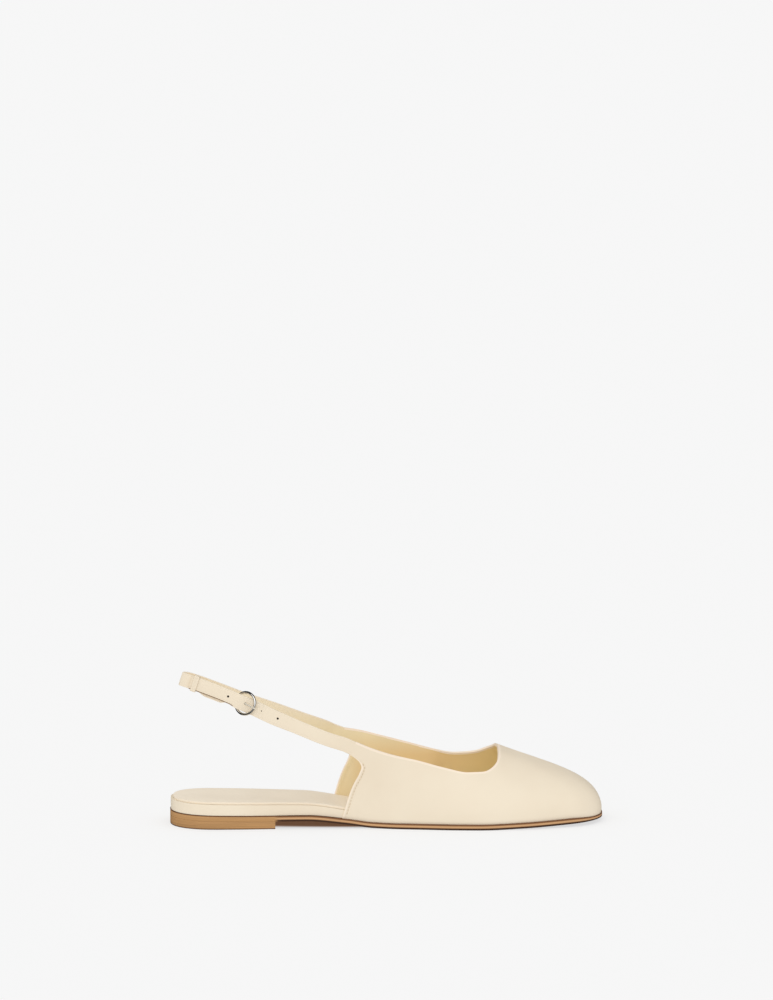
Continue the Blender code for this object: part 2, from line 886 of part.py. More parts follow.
def make_keeper(group, run):
    """Narrow leather loop that holds the tail on the sling strap."""
    material = finish_material("keeper_leather", (0.89, 0.79, 0.61), 0.38)
    place, along, up, out = run.frame(run.outer_side(keeper_place))
    half_up = run.width(run.outer_side(keeper_place)) / 2 + gap
    low = -sling_thickness / 2 - gap
    high = tail_over + strap_thickness / 2 + gap
    corner = keeper_thickness
    loop = []
    sides = ((1, 1), (-1, 1), (-1, -1), (1, -1))
    for number, (side_up, side_out) in enumerate(sides):
        for step in range(4):
            turn = math.radians(90 * number + 30 * step)
            middle_out = (high - corner) if side_out > 0 else (low + corner)
            reach_up = side_up * (half_up - corner) + corner * math.cos(turn)
            loop.append(place + up * reach_up + out * (middle_out + corner * math.sin(turn)))
    form = bmesh.new()
    rows = []
    for end in (-0.5, 0.5):
        rows.append([form.verts.new(point + along * keeper_width * end) for point in loop])
    count = len(loop)
    for i in range(count):
        form.faces.new((rows[0][i], rows[0][(i + 1) % count], rows[1][(i + 1) % count], rows[1][i]))
    item = put_object("strap_keeper", mesh_of("strap_keeper", form), group, material)
    thicken(item, keeper_thickness, 1.0)
    return item


clear_scene()
shoe = new_collection("sling_back_flat")
tools = new_collection("cutters")
run = Run()
pieces = [
    make_outsole(shoe),
    make_heel(shoe),
    make_footbed(shoe),
    make_insole(shoe),
    make_upper(shoe),
    make_holed_strap(shoe, run),
    make_sling_strap(shoe, run),
    make_ring(shoe, run),
    make_prong(shoe, run),
    make_keeper(shoe, run),
]
holes = make_hole_cutters(tools, run)
for hole in holes:
    cut(pieces[5], hole)
slot = make_slot_cutter(tools, run)
cut(pieces[6], slot)
carrier = bpy.data.objects.new("shoe_origin", None)
shoe.objects.link(carrier)
edge = outline(0.0)
side_shift = -(max(point.y for point in edge) + min(point.y for point in edge)) / 2
carrier.location = (-length / 2, side_shift, 0)
for piece in pieces + holes + [slot]:
    piece.parent = carrier
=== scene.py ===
# %% [markdown]
# # Sling back flat
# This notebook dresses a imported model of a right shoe: a cream leather flat with
# a closed vamp, an open heel and a strap that fastens with a small round buckle.
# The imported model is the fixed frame. Every piece of it is built again here, finer
# and with its own leather or metal, in the place that the frame gives it.

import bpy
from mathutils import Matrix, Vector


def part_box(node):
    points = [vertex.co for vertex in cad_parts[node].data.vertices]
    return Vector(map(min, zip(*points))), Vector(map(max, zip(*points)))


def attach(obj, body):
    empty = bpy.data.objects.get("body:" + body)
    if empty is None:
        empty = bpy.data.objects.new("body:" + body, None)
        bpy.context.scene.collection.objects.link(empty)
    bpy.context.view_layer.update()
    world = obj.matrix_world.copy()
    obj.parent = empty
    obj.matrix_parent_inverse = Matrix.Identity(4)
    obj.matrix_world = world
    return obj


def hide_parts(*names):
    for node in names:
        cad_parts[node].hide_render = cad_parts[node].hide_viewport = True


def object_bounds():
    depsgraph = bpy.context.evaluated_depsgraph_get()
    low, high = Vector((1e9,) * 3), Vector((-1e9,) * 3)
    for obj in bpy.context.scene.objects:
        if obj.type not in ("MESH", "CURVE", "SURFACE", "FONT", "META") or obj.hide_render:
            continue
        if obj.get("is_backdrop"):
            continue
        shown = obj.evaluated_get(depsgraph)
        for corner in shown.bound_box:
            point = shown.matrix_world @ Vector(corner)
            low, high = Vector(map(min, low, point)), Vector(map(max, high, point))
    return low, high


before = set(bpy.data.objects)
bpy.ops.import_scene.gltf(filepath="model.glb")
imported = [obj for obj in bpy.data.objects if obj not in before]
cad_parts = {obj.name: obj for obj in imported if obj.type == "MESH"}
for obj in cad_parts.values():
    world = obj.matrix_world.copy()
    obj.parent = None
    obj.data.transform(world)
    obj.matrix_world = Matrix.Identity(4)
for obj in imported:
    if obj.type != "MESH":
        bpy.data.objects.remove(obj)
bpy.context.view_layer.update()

# %% Modules
import functools
import itertools
import math

import bpy
import numpy as np
from mathutils import Matrix, Vector

print("Blender", bpy.app.version_string)

# %% [markdown]
# ## The shoe's own numbers
# A shoe is drawn from a last, the solid form that stands in for the foot. A few
# lengths and short tables hold its curves. Nearly all of them made the frame too, so
# the finer surfaces here lie on its surfaces. Lengths are in metres. X runs from the
# back of the heel to the toe, -Y is the outer side of the foot and Z is height.

# %% Lengths
length = 0.249
half_ball = 0.040
heel_length = 0.0593
heel_height = 0.0048
toe_spring = 0.0026
heel_round = 0.027
toe_round = 0.021
sole_thickness = 0.0031
toe_paring = 0.0012
footbed_heel_thickness = 0.0062
footbed_fore_thickness = 0.0024
footbed_inset = 0.0003
footbed_waist_inset = 0.0012
footbed_edge_round = 0.0014
footbed_step = 0.003
sock_thickness = 0.0010
sock_inset = 0.0016
upper_wall = 0.0016
upper_inset = 0.0008
upper_toe_inset = 0.0004
instep_height = 0.0437
quarter_height = 0.0501
quarter_foot = 0.0978
inner_set_back = 0.0040
rear_edge_lean = 0.0050
feather_lean = 0.10
corner_share = 0.82
strap_share = 0.80
gap = 0.0003
print("length", length, "ball width", half_ball * 2)

# %% Tables of the sole
# plan: share of the length; outer and inner half width as shares of half the ball width
plan_table = [
    (0.00, 0.70, 0.70),
    (0.15, 0.71, 0.70),
    (0.30, 0.68, 0.62),
    (0.42, 0.70, 0.57),
    (0.55, 0.83, 0.70),
    (0.66, 0.95, 0.92),
    (0.73, 0.98, 1.02),
    (0.82, 0.92, 1.03),
    (0.90, 0.78, 0.95),
    (0.96, 0.64, 0.82),
    (1.00, 0.54, 0.70),
]

# underside: share of the length; share of the heel height; share of the toe spring
lift_table = [
    (0.000, 1.06, 0.0),
    (0.242, 0.90, 0.0),
    (0.310, 0.90, 0.0),
    (0.400, 0.49, 0.0),
    (0.464, 0.08, 0.0),
    (0.520, 0.00, 0.0),
    (0.700, 0.00, 0.0),
    (0.800, 0.00, 0.24),
    (0.900, 0.00, 0.58),
    (1.000, 0.00, 1.0),
]

# footbed: share of the length; 0 at the fore thickness, 1 at the heel thickness
footbed_table = [
    (0.00, 1.00),
    (0.20, 0.96),
    (0.30, 0.86),
    (0.38, 0.64),
    (0.48, 0.34),
    (0.60, 0.07),
    (0.70, 0.00),
    (1.00, 0.00),
]
print("sole tables", len(plan_table), len(lift_table), len(footbed_table))

# %% Tables of the upper
# rib, from the feather edge to the top edge: run from rear (0) to toe tip (1); top end as shares
# of the length, of half the ball width and of the way from instep to quarter height; two handles
# as shares of the chord; slope at the top end in degrees
outer_ribs = [
    (0.00, 0.424, -0.700, 1.00, 0.34, 0.34, 84),
    (0.07, 0.458, -0.732, 0.46, 0.34, 0.34, 84),
    (0.15, 0.505, -0.755, -0.12, 0.34, 0.34, 82),
    (0.25, 0.565, -0.785, -0.62, 0.34, 0.34, 80),
    (0.34, 0.625, -0.805, -1.26, 0.34, 0.34, 76),
    (0.42, 0.680, -0.800, -1.72, 0.34, 0.36, 70),
    (0.50, 0.716, -0.755, -1.72, 0.34, 0.38, 60),
    (0.60, 0.741, -0.670, -1.32, 0.34, 0.42, 47),
    (0.72, 0.754, -0.510, -0.74, 0.32, 0.46, 34),
    (0.86, 0.757, -0.260, -0.22, 0.285, 0.50, 24),
    (1.00, 0.758, 0.020, 0.00, 0.275, 0.50, 20),
]
inner_ribs = [
    (0.00, 0.408, 0.708, 1.00, 0.34, 0.34, 84),
    (0.07, 0.445, 0.745, 0.72, 0.34, 0.34, 84),
    (0.15, 0.492, 0.775, 0.22, 0.34, 0.34, 82),
    (0.25, 0.555, 0.810, -0.47, 0.34, 0.34, 80),
    (0.34, 0.612, 0.830, -1.09, 0.34, 0.34, 76),
    (0.42, 0.664, 0.825, -1.43, 0.34, 0.36, 70),
    (0.50, 0.708, 0.770, -1.27, 0.34, 0.38, 58),
    (0.60, 0.735, 0.680, -0.875, 0.34, 0.42, 46),
    (0.72, 0.751, 0.520, -0.48, 0.32, 0.46, 34),
    (0.86, 0.756, 0.280, -0.14, 0.285, 0.50, 24),
    (1.00, 0.758, 0.020, 0.00, 0.275, 0.50, 20),
]

# rear edge of a quarter: share of its height; forward set as a share of the rear edge's lean
rear_table = [
    (0.000, 0.00),
    (0.160, 0.42),
    (0.450, 0.80),
    (0.620, 1.10),
    (0.700, 1.14),
    (0.765, 0.80),
    (0.800, 0.22),
    (0.820, -0.34),
    (0.860, -0.28),
    (0.930, -0.15),
    (1.000, 0.00),
]
print("upper tables", len(outer_ribs), len(inner_ribs), len(rear_table))

# %% [markdown]
# ## Reading the tables
# `follow` runs a smooth curve through a table's rows and never overshoots them,
# as a thin wooden strip bent round pins would. `soft_step` eases from 0 to 1.


# %% Curve helpers
def follow(table, place, column):
    """Value of a table's column at a place."""
    last = len(table) - 1
    place = min(max(place, table[0][0]), table[last][0])
    row = 0
    while row < last - 1 and place > table[row + 1][0]:
        row += 1

    def chord(i):
        return (table[i + 1][column] - table[i][column]) / (table[i + 1][0] - table[i][0])

    def slope(i):
        if i == 0 or i == last:
            return chord(min(i, last - 1))
        before, after = chord(i - 1), chord(i)
        return 2 * before * after / (before + after) if before * after > 0 else 0.0

    width = table[row + 1][0] - table[row][0]
    t = (place - table[row][0]) / width
    start, end = table[row][column], table[row + 1][column]
    return (
        (2 * t**3 - 3 * t**2 + 1) * start
        + (t**3 - 2 * t**2 + t) * width * slope(row)
        + (3 * t**2 - 2 * t**3) * end
        + (t**3 - t**2) * width * slope(row + 1)
    )


def soft_step(value, start, end):
    """0 before start, 1 after end, smooth between."""
    t = min(max((value - start) / (end - start), 0.0), 1.0)
    return t * t * (3 - 2 * t)


def spread(start, end, count):
    """Count numbers, evenly spaced, with both ends."""
    return [start + (end - start) * i / (count - 1) for i in range(count)]


def reaches(points):
    """Distance of each point from the first, along the line."""
    reach = [0.0]
    for before, after in zip(points, points[1:]):
        reach.append(reach[-1] + (after - before).length)
    return reach


def point_on(points, reach, distance):
    """Point of a line at a distance along it."""
    i = int(np.searchsorted(reach, distance))
    i = min(max(i, 1), len(points) - 1)
    step = reach[i] - reach[i - 1]
    return points[i - 1].lerp(points[i], (distance - reach[i - 1]) / step if step else 0.0)


def smooth_line(points, count):
    """Points evenly spaced on a smooth curve through the given ones."""
    dense = []
    fine = 12
    for i in range(len(points) - 1):
        before, start, end = points[max(i - 1, 0)], points[i], points[i + 1]
        after = points[min(i + 2, len(points) - 1)]
        for step in range(fine):
            t = step / fine
            bend = 2 * before - 5 * start + 4 * end - after
            twist = 3 * start - 3 * end + after - before
            dense.append((2 * start + (end - before) * t + bend * t**2 + twist * t**3) / 2)
    dense.append(points[-1])
    reach = reaches(dense)
    return [point_on(dense, reach, distance) for distance in spread(0.0, reach[-1], count)]


print("ball half width, outer", round(half_ball * follow(plan_table, 0.7, 1), 4))

# %% [markdown]
# ## The sole's outline
# Heel and toe are parts of squared circles, and between them the plan table gives
# the width. The outline is made once as two edges, outer and inner, from the heel
# tip to the toe tip, and every layer of the shoe is that outline moved inwards.


# %% Outline
heel_squareness, toe_squareness = 2.3, 2.7
heel_stations, middle_stations, toe_stations = 25, 90, 37


def outline_places():
    """Place along the shoe and share of the local width, heel tip to toe tip."""
    places = []
    for turn in spread(0.0, math.pi / 2, heel_stations)[:-1]:
        back = 1 - math.cos(turn) ** (2 / heel_squareness)
        places.append((heel_round * back, math.sin(turn) ** (2 / heel_squareness)))
    places += [(x, 1.0) for x in spread(heel_round, length - toe_round, middle_stations)]
    for turn in spread(math.pi / 2, 0.0, toe_stations)[1:]:
        front = 1 - math.cos(turn) ** (2 / toe_squareness)
        places.append((length - toe_round * front, math.sin(turn) ** (2 / toe_squareness)))
    return places


def plan_shares(x):
    """Outer and inner half width at x, as shares of half the ball width."""
    return follow(plan_table, x / length, 1), follow(plan_table, x / length, 2)


def middle_line(x):
    """Middle of the sole, across the shoe."""
    outer, inner = plan_shares(x)
    return half_ball * (inner - outer) / 2


def outline_sides(inset):
    """Outer and inner edge of the outline, moved inwards by inset(x, y)."""
    outer, inner = [], []
    for x, cap in outline_places():
        half = half_ball * sum(plan_shares(x)) / 2 * cap
        outer.append(Vector((x, middle_line(x) - half, 0)))
        inner.append(Vector((x, middle_line(x) + half, 0)))
    loop = outer + inner[-2:0:-1]
    moved = []
    for i, point in enumerate(loop):
        along = (loop[(i + 1) % len(loop)] - loop[i - 1]).normalized()
        moved.append(point + Vector((-along.y, along.x, 0)) * inset(point.x, point.y))
    count = len(outer)
    return moved[:count], [moved[0]] + moved[:count - 2:-1]


sole_edges = outline_sides(lambda x, y: 0.0)
side_shift = -(max(p.y for p in sole_edges[1]) + min(p.y for p in sole_edges[0])) / 2
origin = Vector((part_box("outsole")[0][0], side_shift, 0))
print("outline", len(sole_edges[0]), "stations; origin at", [round(v, 5) for v in origin])


# %% Heights of the layers
def sole_bottom(x):
    """Underside of the sole."""
    at_heel, at_toe = follow(lift_table, x / length, 1), follow(lift_table, x / length, 2)
    return heel_height * at_heel + toe_spring * at_toe


def sole_top(x):
    """Upper face of the sole; the leather is pared thinner at the toe."""
    return sole_bottom(x) + sole_thickness - toe_paring * soft_step(x, length - toe_round, length)


def footbed_bottom(x):
    """Underside of the footbed."""
    return sole_top(x) + gap


def footbed_top(x):
    """Upper face of the footbed."""
    extra = (footbed_heel_thickness - footbed_fore_thickness) * follow(footbed_table, x / length, 1)
    return footbed_bottom(x) + footbed_fore_thickness + extra


def covered_from(y):
    """Place along the shoe from which the quarter's wall hides the footbed's edge."""
    return quarter_foot - (inner_set_back if y > 0 else 0.0) + footbed_step + gap * 3


def rear_depth(x, y):
    """The footbed's distance inside the sole's edge at the open rear."""
    waist = soft_step(x, heel_length / 2, covered_from(y) - footbed_step * 3)
    return footbed_inset + (footbed_waist_inset - footbed_inset) * waist


def footbed_depth(x, y):
    """The footbed's distance inside the sole's edge: it steps in where the upper's wall begins."""
    inside = upper_inset + upper_wall + gap * 2
    step = soft_step(x, covered_from(y) - footbed_step, covered_from(y))
    return rear_depth(x, y) + (inside - rear_depth(x, y)) * step


def sock_depth(x, y):
    """The insole's distance inside the sole's edge; in front it reaches the wall."""
    open_rear = rear_depth(x, y) + sock_inset
    inside = upper_inset + upper_wall + gap / 2
    step = soft_step(x, covered_from(y) - footbed_step * 3, covered_from(y))
    return open_rear + (inside - open_rear) * step


print("footbed top at the heel", round(footbed_top(0.03), 4))

# %% [markdown]
# ## Node helpers
# A material is a small network of nodes. A few helpers keep the networks readable.
# They start a material, add a node with its settings, link sockets, rescale a
# number, turn a number to a colour with a ramp, and mix two colours.


# %% Node helpers
def new_material(name):
    """A material, its node tree and its shader."""
    material = bpy.data.materials.new(name)
    material.use_nodes = True
    return material, material.node_tree, material.node_tree.nodes["Principled BSDF"]


def add_node(tree, kind, values=(), **settings):
    """Add a shader node with its settings and the values of its sockets."""
    node = tree.nodes.new("ShaderNode" + kind)
    for name, setting in settings.items():
        setattr(node, name, setting)
    for socket, value in dict(values).items():
        node.inputs[socket].default_value = value
    return node


def link(tree, *pairs):
    """Link each output socket to its input socket."""
    for source, target in pairs:
        tree.links.new(source, target)


def ranged(tree, source, start, end, low=0.0, high=1.0):
    """The source's value, rescaled from start..end to low..high."""
    values = {"From Min": start, "From Max": end, "To Min": low, "To Max": high}
    node = add_node(tree, "MapRange", values)
    link(tree, (source, node.inputs["Value"]))
    return node.outputs["Result"]


def coloured(tree, source, stops):
    """The source's value, turned to a colour by a ramp with the given stops."""
    node = add_node(tree, "ValToRGB")
    elements = node.color_ramp.elements
    for element, (place, colour) in zip(elements, (stops[0], stops[-1])):
        element.position, element.color = place, (*colour, 1)
    for place, colour in stops[1:-1]:
        elements.new(place).color = (*colour, 1)
    link(tree, (source, node.inputs["Fac"]))
    return node.outputs["Color"]


def mixed(tree, factor, first, second, blend="MIX"):
    """Two colours mixed; each of the three may be a socket or a plain value."""
    node = add_node(tree, "Mix", data_type="RGBA", blend_type=blend)
    for name, value in (("Factor", factor), ("A", first), ("B", second)):
        if isinstance(value, bpy.types.NodeSocket):
            link(tree, (value, node.inputs[name]))
        else:
            node.inputs[name].default_value = value
    return node.outputs["Result"]


print("node helpers ready")

# %% [markdown]
# ## Leather finishes
# Leather is never one flat colour. A node group makes what every leather here
# shares: fine pores for the bump, and slow cloudy patches for colour and gloss.
# The shader itself stays in each material, with its own colours and values.


# %% Leather group
def leather_group():
    """Node group: pore and crease height, and a slow patch mask."""
    group = bpy.data.node_groups.new("leather surface", "ShaderNodeTree")
    new_socket = functools.partial(group.interface.new_socket, socket_type="NodeSocketFloat")
    new_socket("Pore Scale", in_out="INPUT").default_value = 1300
    new_socket("Patch Scale", in_out="INPUT").default_value = 22
    new_socket("Height", in_out="OUTPUT")
    new_socket("Patches", in_out="OUTPUT")
    takes, gives = group.nodes.new("NodeGroupInput"), group.nodes.new("NodeGroupOutput")
    where = add_node(group, "TexCoord").outputs["Object"]
    pores = add_node(group, "TexVoronoi", {"Smoothness": 0.6}, feature="SMOOTH_F1")
    fine = add_node(group, "TexNoise", {"Scale": 420, "Detail": 5})
    slow = add_node(group, "TexNoise", {"Detail": 3, "Roughness": 0.55})
    total = add_node(group, "Math", {1: 0.6}, operation="MULTIPLY_ADD")
    link(
        group,
        *((where, texture.inputs["Vector"]) for texture in (pores, fine, slow)),
        (takes.outputs["Pore Scale"], pores.inputs["Scale"]),
        (takes.outputs["Patch Scale"], slow.inputs["Scale"]),
        (pores.outputs["Distance"], total.inputs[0]),
        (fine.outputs["Fac"], total.inputs[2]),
        (total.outputs[0], gives.inputs["Height"]),
        (slow.outputs["Fac"], gives.inputs["Patches"]),
    )
    return group


leather_surface = leather_group()
print("group sockets", [item.name for item in leather_surface.interface.items_tree])


# %% Leather material
def leather(name, dark, light, roughness, pores=1300, depth=0.00002, coat=0.0):
    """Leather whose colour drifts between two tones, with pores and a soft finish."""
    material, tree, shader = new_material(name)
    surface = add_node(tree, "Group", {"Pore Scale": pores}, node_tree=leather_surface)
    patches = surface.outputs["Patches"]
    bump = add_node(tree, "Bump", {"Strength": 0.5, "Distance": depth})
    tone = coloured(tree, patches, [(0.35, dark), (0.65, light)])
    gloss = ranged(tree, patches, 0.3, 0.7, roughness - 0.04, roughness + 0.05)
    link(
        tree,
        (tone, shader.inputs["Base Color"]),
        (gloss, shader.inputs["Roughness"]),
        (surface.outputs["Height"], bump.inputs["Height"]),
        (bump.outputs["Normal"], shader.inputs["Normal"]),
    )
    shader.inputs["Coat Weight"].default_value = coat
    shader.inputs["Coat Roughness"].default_value = 0.35
    shader.inputs["Specular IOR Level"].default_value = 0.4
    return material


cream = leather("cream leather", (0.865, 0.745, 0.575), (0.895, 0.785, 0.615), 0.46, coat=0.08)
# a paler cream: painted highlight for the faces along the folded topline and rear edge
rim_painted_highlight = leather("cream folded edge, painted highlight", (0.95, 0.815, 0.655), (0.97, 0.84, 0.68), 0.5)
lining = leather("lining leather", (0.95, 0.95, 0.95), (1.0, 1.0, 1.0), 0.62, pores=900)
sock = leather("sock leather", (0.91, 0.80, 0.64), (0.95, 0.84, 0.68), 0.6, pores=1000)
thread = leather("cream thread", (0.72, 0.59, 0.42), (0.76, 0.63, 0.46), 0.7, pores=4000)
# dark brown painted shadow for the strap tail's lower edge, where it lies over the strap beneath
gap_painted_shadow = leather("strap edge, painted gap shadow", (0.30, 0.20, 0.12), (0.36, 0.25, 0.15), 0.6)
# near-black painted shade for the hole walls and the web between the cutters
hole_shade = leather("hole wall, painted shade", (0.035, 0.022, 0.014), (0.05, 0.032, 0.02), 0.8)
print("leathers", cream.name, rim_painted_highlight.name, lining.name, sock.name, gap_painted_shadow.name)

# %% [markdown]
# The lining is tan. Its colour is multiplied by a ramp that reads height and place from the Object
# coordinates. Painted shade makes it darker and warmer deep in the shoe, standing in for light
# bounced from leather to leather. Painted light makes it paler towards the straps and the open
# rear, and gold towards the throat.

# %% Lining tan and painted shade
tree = lining.node_tree
parts = add_node(tree, "SeparateXYZ")
paler = add_node(tree, "Math", operation="MAXIMUM")
climb = ranged(tree, parts.outputs["Z"], 0.026, 0.062)
rearward = ranged(tree, parts.outputs["X"], -0.004, -0.020, 0.0, 0.5)
link(
    tree,
    (add_node(tree, "TexCoord").outputs["Object"], parts.inputs["Vector"]),
    (climb, paler.inputs[0]),
    (rearward, paler.inputs[1]),
)
# tan of the lining, with painted shade deep in the shoe and painted light high up and at the open
# rear
lining_tan_and_painted_shade = [
    (0.0, (0.83, 0.61, 0.30)),
    (0.2, (0.82, 0.59, 0.285)),
    (0.55, (0.88, 0.74, 0.46)),
    (1.0, (0.90, 0.78, 0.57)),
]
# painted light that lifts the shaded lining towards the throat
throat_painted_light = (0.98, 0.81, 0.42, 1)
tones = coloured(tree, paler.outputs["Value"], lining_tan_and_painted_shade)
forward = ranged(tree, parts.outputs["X"], 0.030, 0.064)
with_throat_painted_light = mixed(tree, forward, tones, throat_painted_light)
lining_colour_and_shade = mixed(tree, 1, tree.nodes["Color Ramp"].outputs["Color"], with_throat_painted_light, "MULTIPLY")
link(tree, (lining_colour_and_shade, tree.nodes["Principled BSDF"].inputs["Base Color"]))
print("lining tones", len(lining_tan_and_painted_shade))

# %% [markdown]
# ## Working habits
# Each new piece starts as one of Blender's own primitives. A grid is the most
# useful one for a shoe: its rows and columns can be laid on any surface that two
# numbers describe, and its even quads shade smoothly.


# %% Modelling helpers
def let_go():
    """Leave edit mode and select nothing."""
    if bpy.context.mode != "OBJECT":
        bpy.ops.object.mode_set(mode="OBJECT")
    bpy.ops.object.select_all(action="DESELECT")


def hold(item):
    """Make one object the only selected and active one."""
    let_go()
    item.select_set(True)
    bpy.context.view_layer.objects.active = item


def shaped_grid(name, columns, rows, place):
    """A grid of faces with the corner at column i and row j moved to place(i, j)."""
    let_go()
    bpy.ops.mesh.primitive_grid_add(x_subdivisions=columns, y_subdivisions=rows, size=1)
    item = bpy.context.object
    item.name = item.data.name = name
    for corner in item.data.vertices:
        i, j = round((corner.co.x + 0.5) * columns), round((corner.co.y + 0.5) * rows)
        corner.co = place(i, j) + origin
    return item


def edit(item, *steps):
    """Run edit mode operators on the whole of an object's mesh."""
    hold(item)
    bpy.ops.object.mode_set(mode="EDIT")
    bpy.ops.mesh.select_all(action="SELECT")
    for step in steps:
        step()
    bpy.ops.object.mode_set(mode="OBJECT")


def weld():
    """Merge corners that share a place."""
    bpy.ops.mesh.remove_doubles(threshold=0.000001)


def face_out():
    """Turn every face outwards."""
    bpy.ops.mesh.normals_make_consistent(inside=False)


def apply_modifiers(item):
    """Apply every modifier of an object, in order."""
    hold(item)
    for tool in list(item.modifiers):
        bpy.ops.object.modifier_apply(modifier=tool.name)


def round_edges(item, width, segments, angle=50):
    """Round the edges sharper than an angle."""
    tool = item.modifiers.new("round", "BEVEL")
    tool.width, tool.segments = width, segments
    tool.limit_method = "ANGLE"
    tool.angle_limit = math.radians(angle)
    apply_modifiers(item)


def dress(item, materials, replaced=(), smooth=35):
    """Shade a finished piece, give it its materials, hang it under the root body and hide the
    frame's parts that it replaces.
    """
    hold(item)
    bpy.ops.object.shade_smooth_by_angle(angle=math.radians(smooth))
    for material in materials:
        if material.name not in item.data.materials:
            item.data.materials.append(material)
    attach(item, "root")
    if replaced:
        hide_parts(*replaced)
    item.data.calc_loop_triangles()
    places = np.array([corner.co for corner in item.data.vertices]) * 1000
    box = (*places.min(axis=0).round(1), *places.max(axis=0).round(1))
    print(item.name, len(item.data.loop_triangles), "triangles, box in mm", *box)
    return item


print("helpers ready")

# %% [markdown]
# ## Sole and heel
# The outsole is one strip of tan leather from heel to toe. Its cut edge is waxed tan, lighter in
# the middle. The brown line at the seam under the upper is a painted shadow, and the near-black
# band along the bottom is painted shade. The stacked heel is painted darker towards the floor as
# well. The edge colour follows a number stored on the mesh, the height in the layer from 0 to 1, so
# the bands stay parallel to the edge as it curves.


# %% Layers
def layer(name, inset, bottom, top, width, segments, end=None):
    """A slab on the outline: a grid between its two edges, extruded up and rounded.
    With an end it stops there; else it runs to the toe tip."""
    outer, inner = outline_sides(inset)
    if end:
        outer = [p for p in outer if p.x < end - 0.001]
        inner = inner[:len(outer)]
        outer.append(Vector((end, -half_ball * plan_shares(end)[0], 0)))
        inner.append(Vector((end, half_ball * plan_shares(end)[1], 0)))
    rows = 12

    def place(i, j):
        point = outer[i].lerp(inner[i], j / rows)
        return Vector((point.x, point.y, bottom(point.x)))

    item = shaped_grid(name, len(outer) - 1, rows, place)
    edit(item, weld, bpy.ops.mesh.extrude_region_move)
    for corner in item.data.vertices:
        if corner.select:
            corner.co.z = top(corner.co.x - origin.x)
    edit(item, face_out)
    round_edges(item, width, segments)
    return item


heel_blend = 0.002


def mark_height(item, bottom, top):
    """Store each corner's height in its layer, 0 to 1, and whether it is over the heel."""
    heights = item.data.attributes.new("layer_height", "FLOAT", "POINT").data
    heels = item.data.attributes.new("heel_part", "FLOAT", "POINT").data
    for corner, height, part in zip(item.data.vertices, heights, heels):
        x = corner.co.x - origin.x
        height.value = (corner.co.z - bottom(x)) / (top(x) - bottom(x))
        part.value = 1 - soft_step(x, heel_length, heel_length + heel_blend)


outsole_round, heel_edge_round = 0.00035, 0.0003
flush, ground = (lambda x, y: 0.0), (lambda x: 0.0)
outsole = layer("outsole_leather", flush, sole_bottom, sole_top, outsole_round, 3)
mark_height(outsole, sole_bottom, sole_top)
heel = layer(
    "heel_leather",
    flush,
    ground,
    lambda x: sole_bottom(x) - gap / 3,
    heel_edge_round,
    2,
    end=heel_length,
)
mark_height(heel, ground, sole_bottom)
print("sole and heel modelled")


# %% Waxed edge
def edge_leather(name, stops, heel_stops, streaks):
    """Tan leather whose colour follows the layer's height, with fine lines along the edge."""
    material = leather(name, tan, tan_light, 0.5, pores=700, coat=0.03)
    tree = material.node_tree
    height = add_node(tree, "Attribute", attribute_name="layer_height").outputs["Fac"]
    part = add_node(tree, "Attribute", attribute_name="heel_part").outputs["Fac"]
    bands = mixed(tree, part, coloured(tree, height, stops), coloured(tree, height, heel_stops))
    stretch = add_node(tree, "Mapping", {"Scale": (25, 25, 2600)})
    lines = add_node(tree, "TexNoise", {"Scale": 1, "Detail": 4})
    link(
        tree,
        (add_node(tree, "TexCoord").outputs["Object"], stretch.inputs["Vector"]),
        (stretch.outputs["Vector"], lines.inputs["Vector"]),
    )
    shade = coloured(tree, lines.outputs["Fac"], [(0.3, (1 - streaks,) * 3), (0.7, (1, 1, 1))])
    colour = mixed(tree, 1, bands, shade, "MULTIPLY")
    link(tree, (colour, tree.nodes["Principled BSDF"].inputs["Base Color"]))
    return material


# dark colours for the painted shade along the bottom of the edges and the painted shadow in the
# seam under the upper
underside_painted_shade = (0.065, 0.022, 0.006)
seam_painted_shadow = (0.22, 0.085, 0.025)
tan = (0.62, 0.34, 0.15)
tan_light = (0.74, 0.43, 0.21)
stack = (0.58, 0.31, 0.115)
stack_light = (0.60, 0.33, 0.13)
foot_painted_shade = (0.3, 0.15, 0.06)
# tan waxed edge; the near-black bottom band is painted shade and the brown line at the top is a
# painted shadow
fore_bands = [
    (0.0, underside_painted_shade),
    (0.29, underside_painted_shade),
    (0.41, tan),
    (0.58, tan_light),
    (0.70, tan),
    (0.82, seam_painted_shadow),
]
heel_bands = [(0.0, stack), (0.45, stack), (0.80, stack_light), (0.95, seam_painted_shadow)]
# the heel block's bottom is painted darker towards the floor: painted shade
foot_bands = [(0.0, underside_painted_shade), (0.10, foot_painted_shade), (0.20, stack), (1.0, stack)]
sole_edge = edge_leather("waxed sole edge", fore_bands, heel_bands, 0.2)
heel_edge = edge_leather("stacked heel edge", foot_bands, foot_bands, 0.35)
dress(outsole, [sole_edge], ["outsole"])
dress(heel, [heel_edge], ["heel"])

# %% [markdown]
# ## Footbed and sock
# The footbed is a board wrapped in the upper's cream leather, so its edge at the
# open heel is soft and round. On it lies the sock, a thinner, greyer leather that
# stops a little inside the edge and leaves a fine seam.

# %% Footbed and sock pieces
footbed = layer("footbed_wrap", footbed_depth, footbed_bottom, footbed_top, footbed_edge_round, 6)
dress(footbed, [cream], ["footbed"])
sock_round = 0.0004
insole = layer(
    "insole_sock",
    sock_depth,
    lambda x: footbed_top(x) + gap / 3,
    lambda x: footbed_top(x) + gap + sock_thickness,
    sock_round,
    3,
)
dress(insole, [sock], ["insole"])

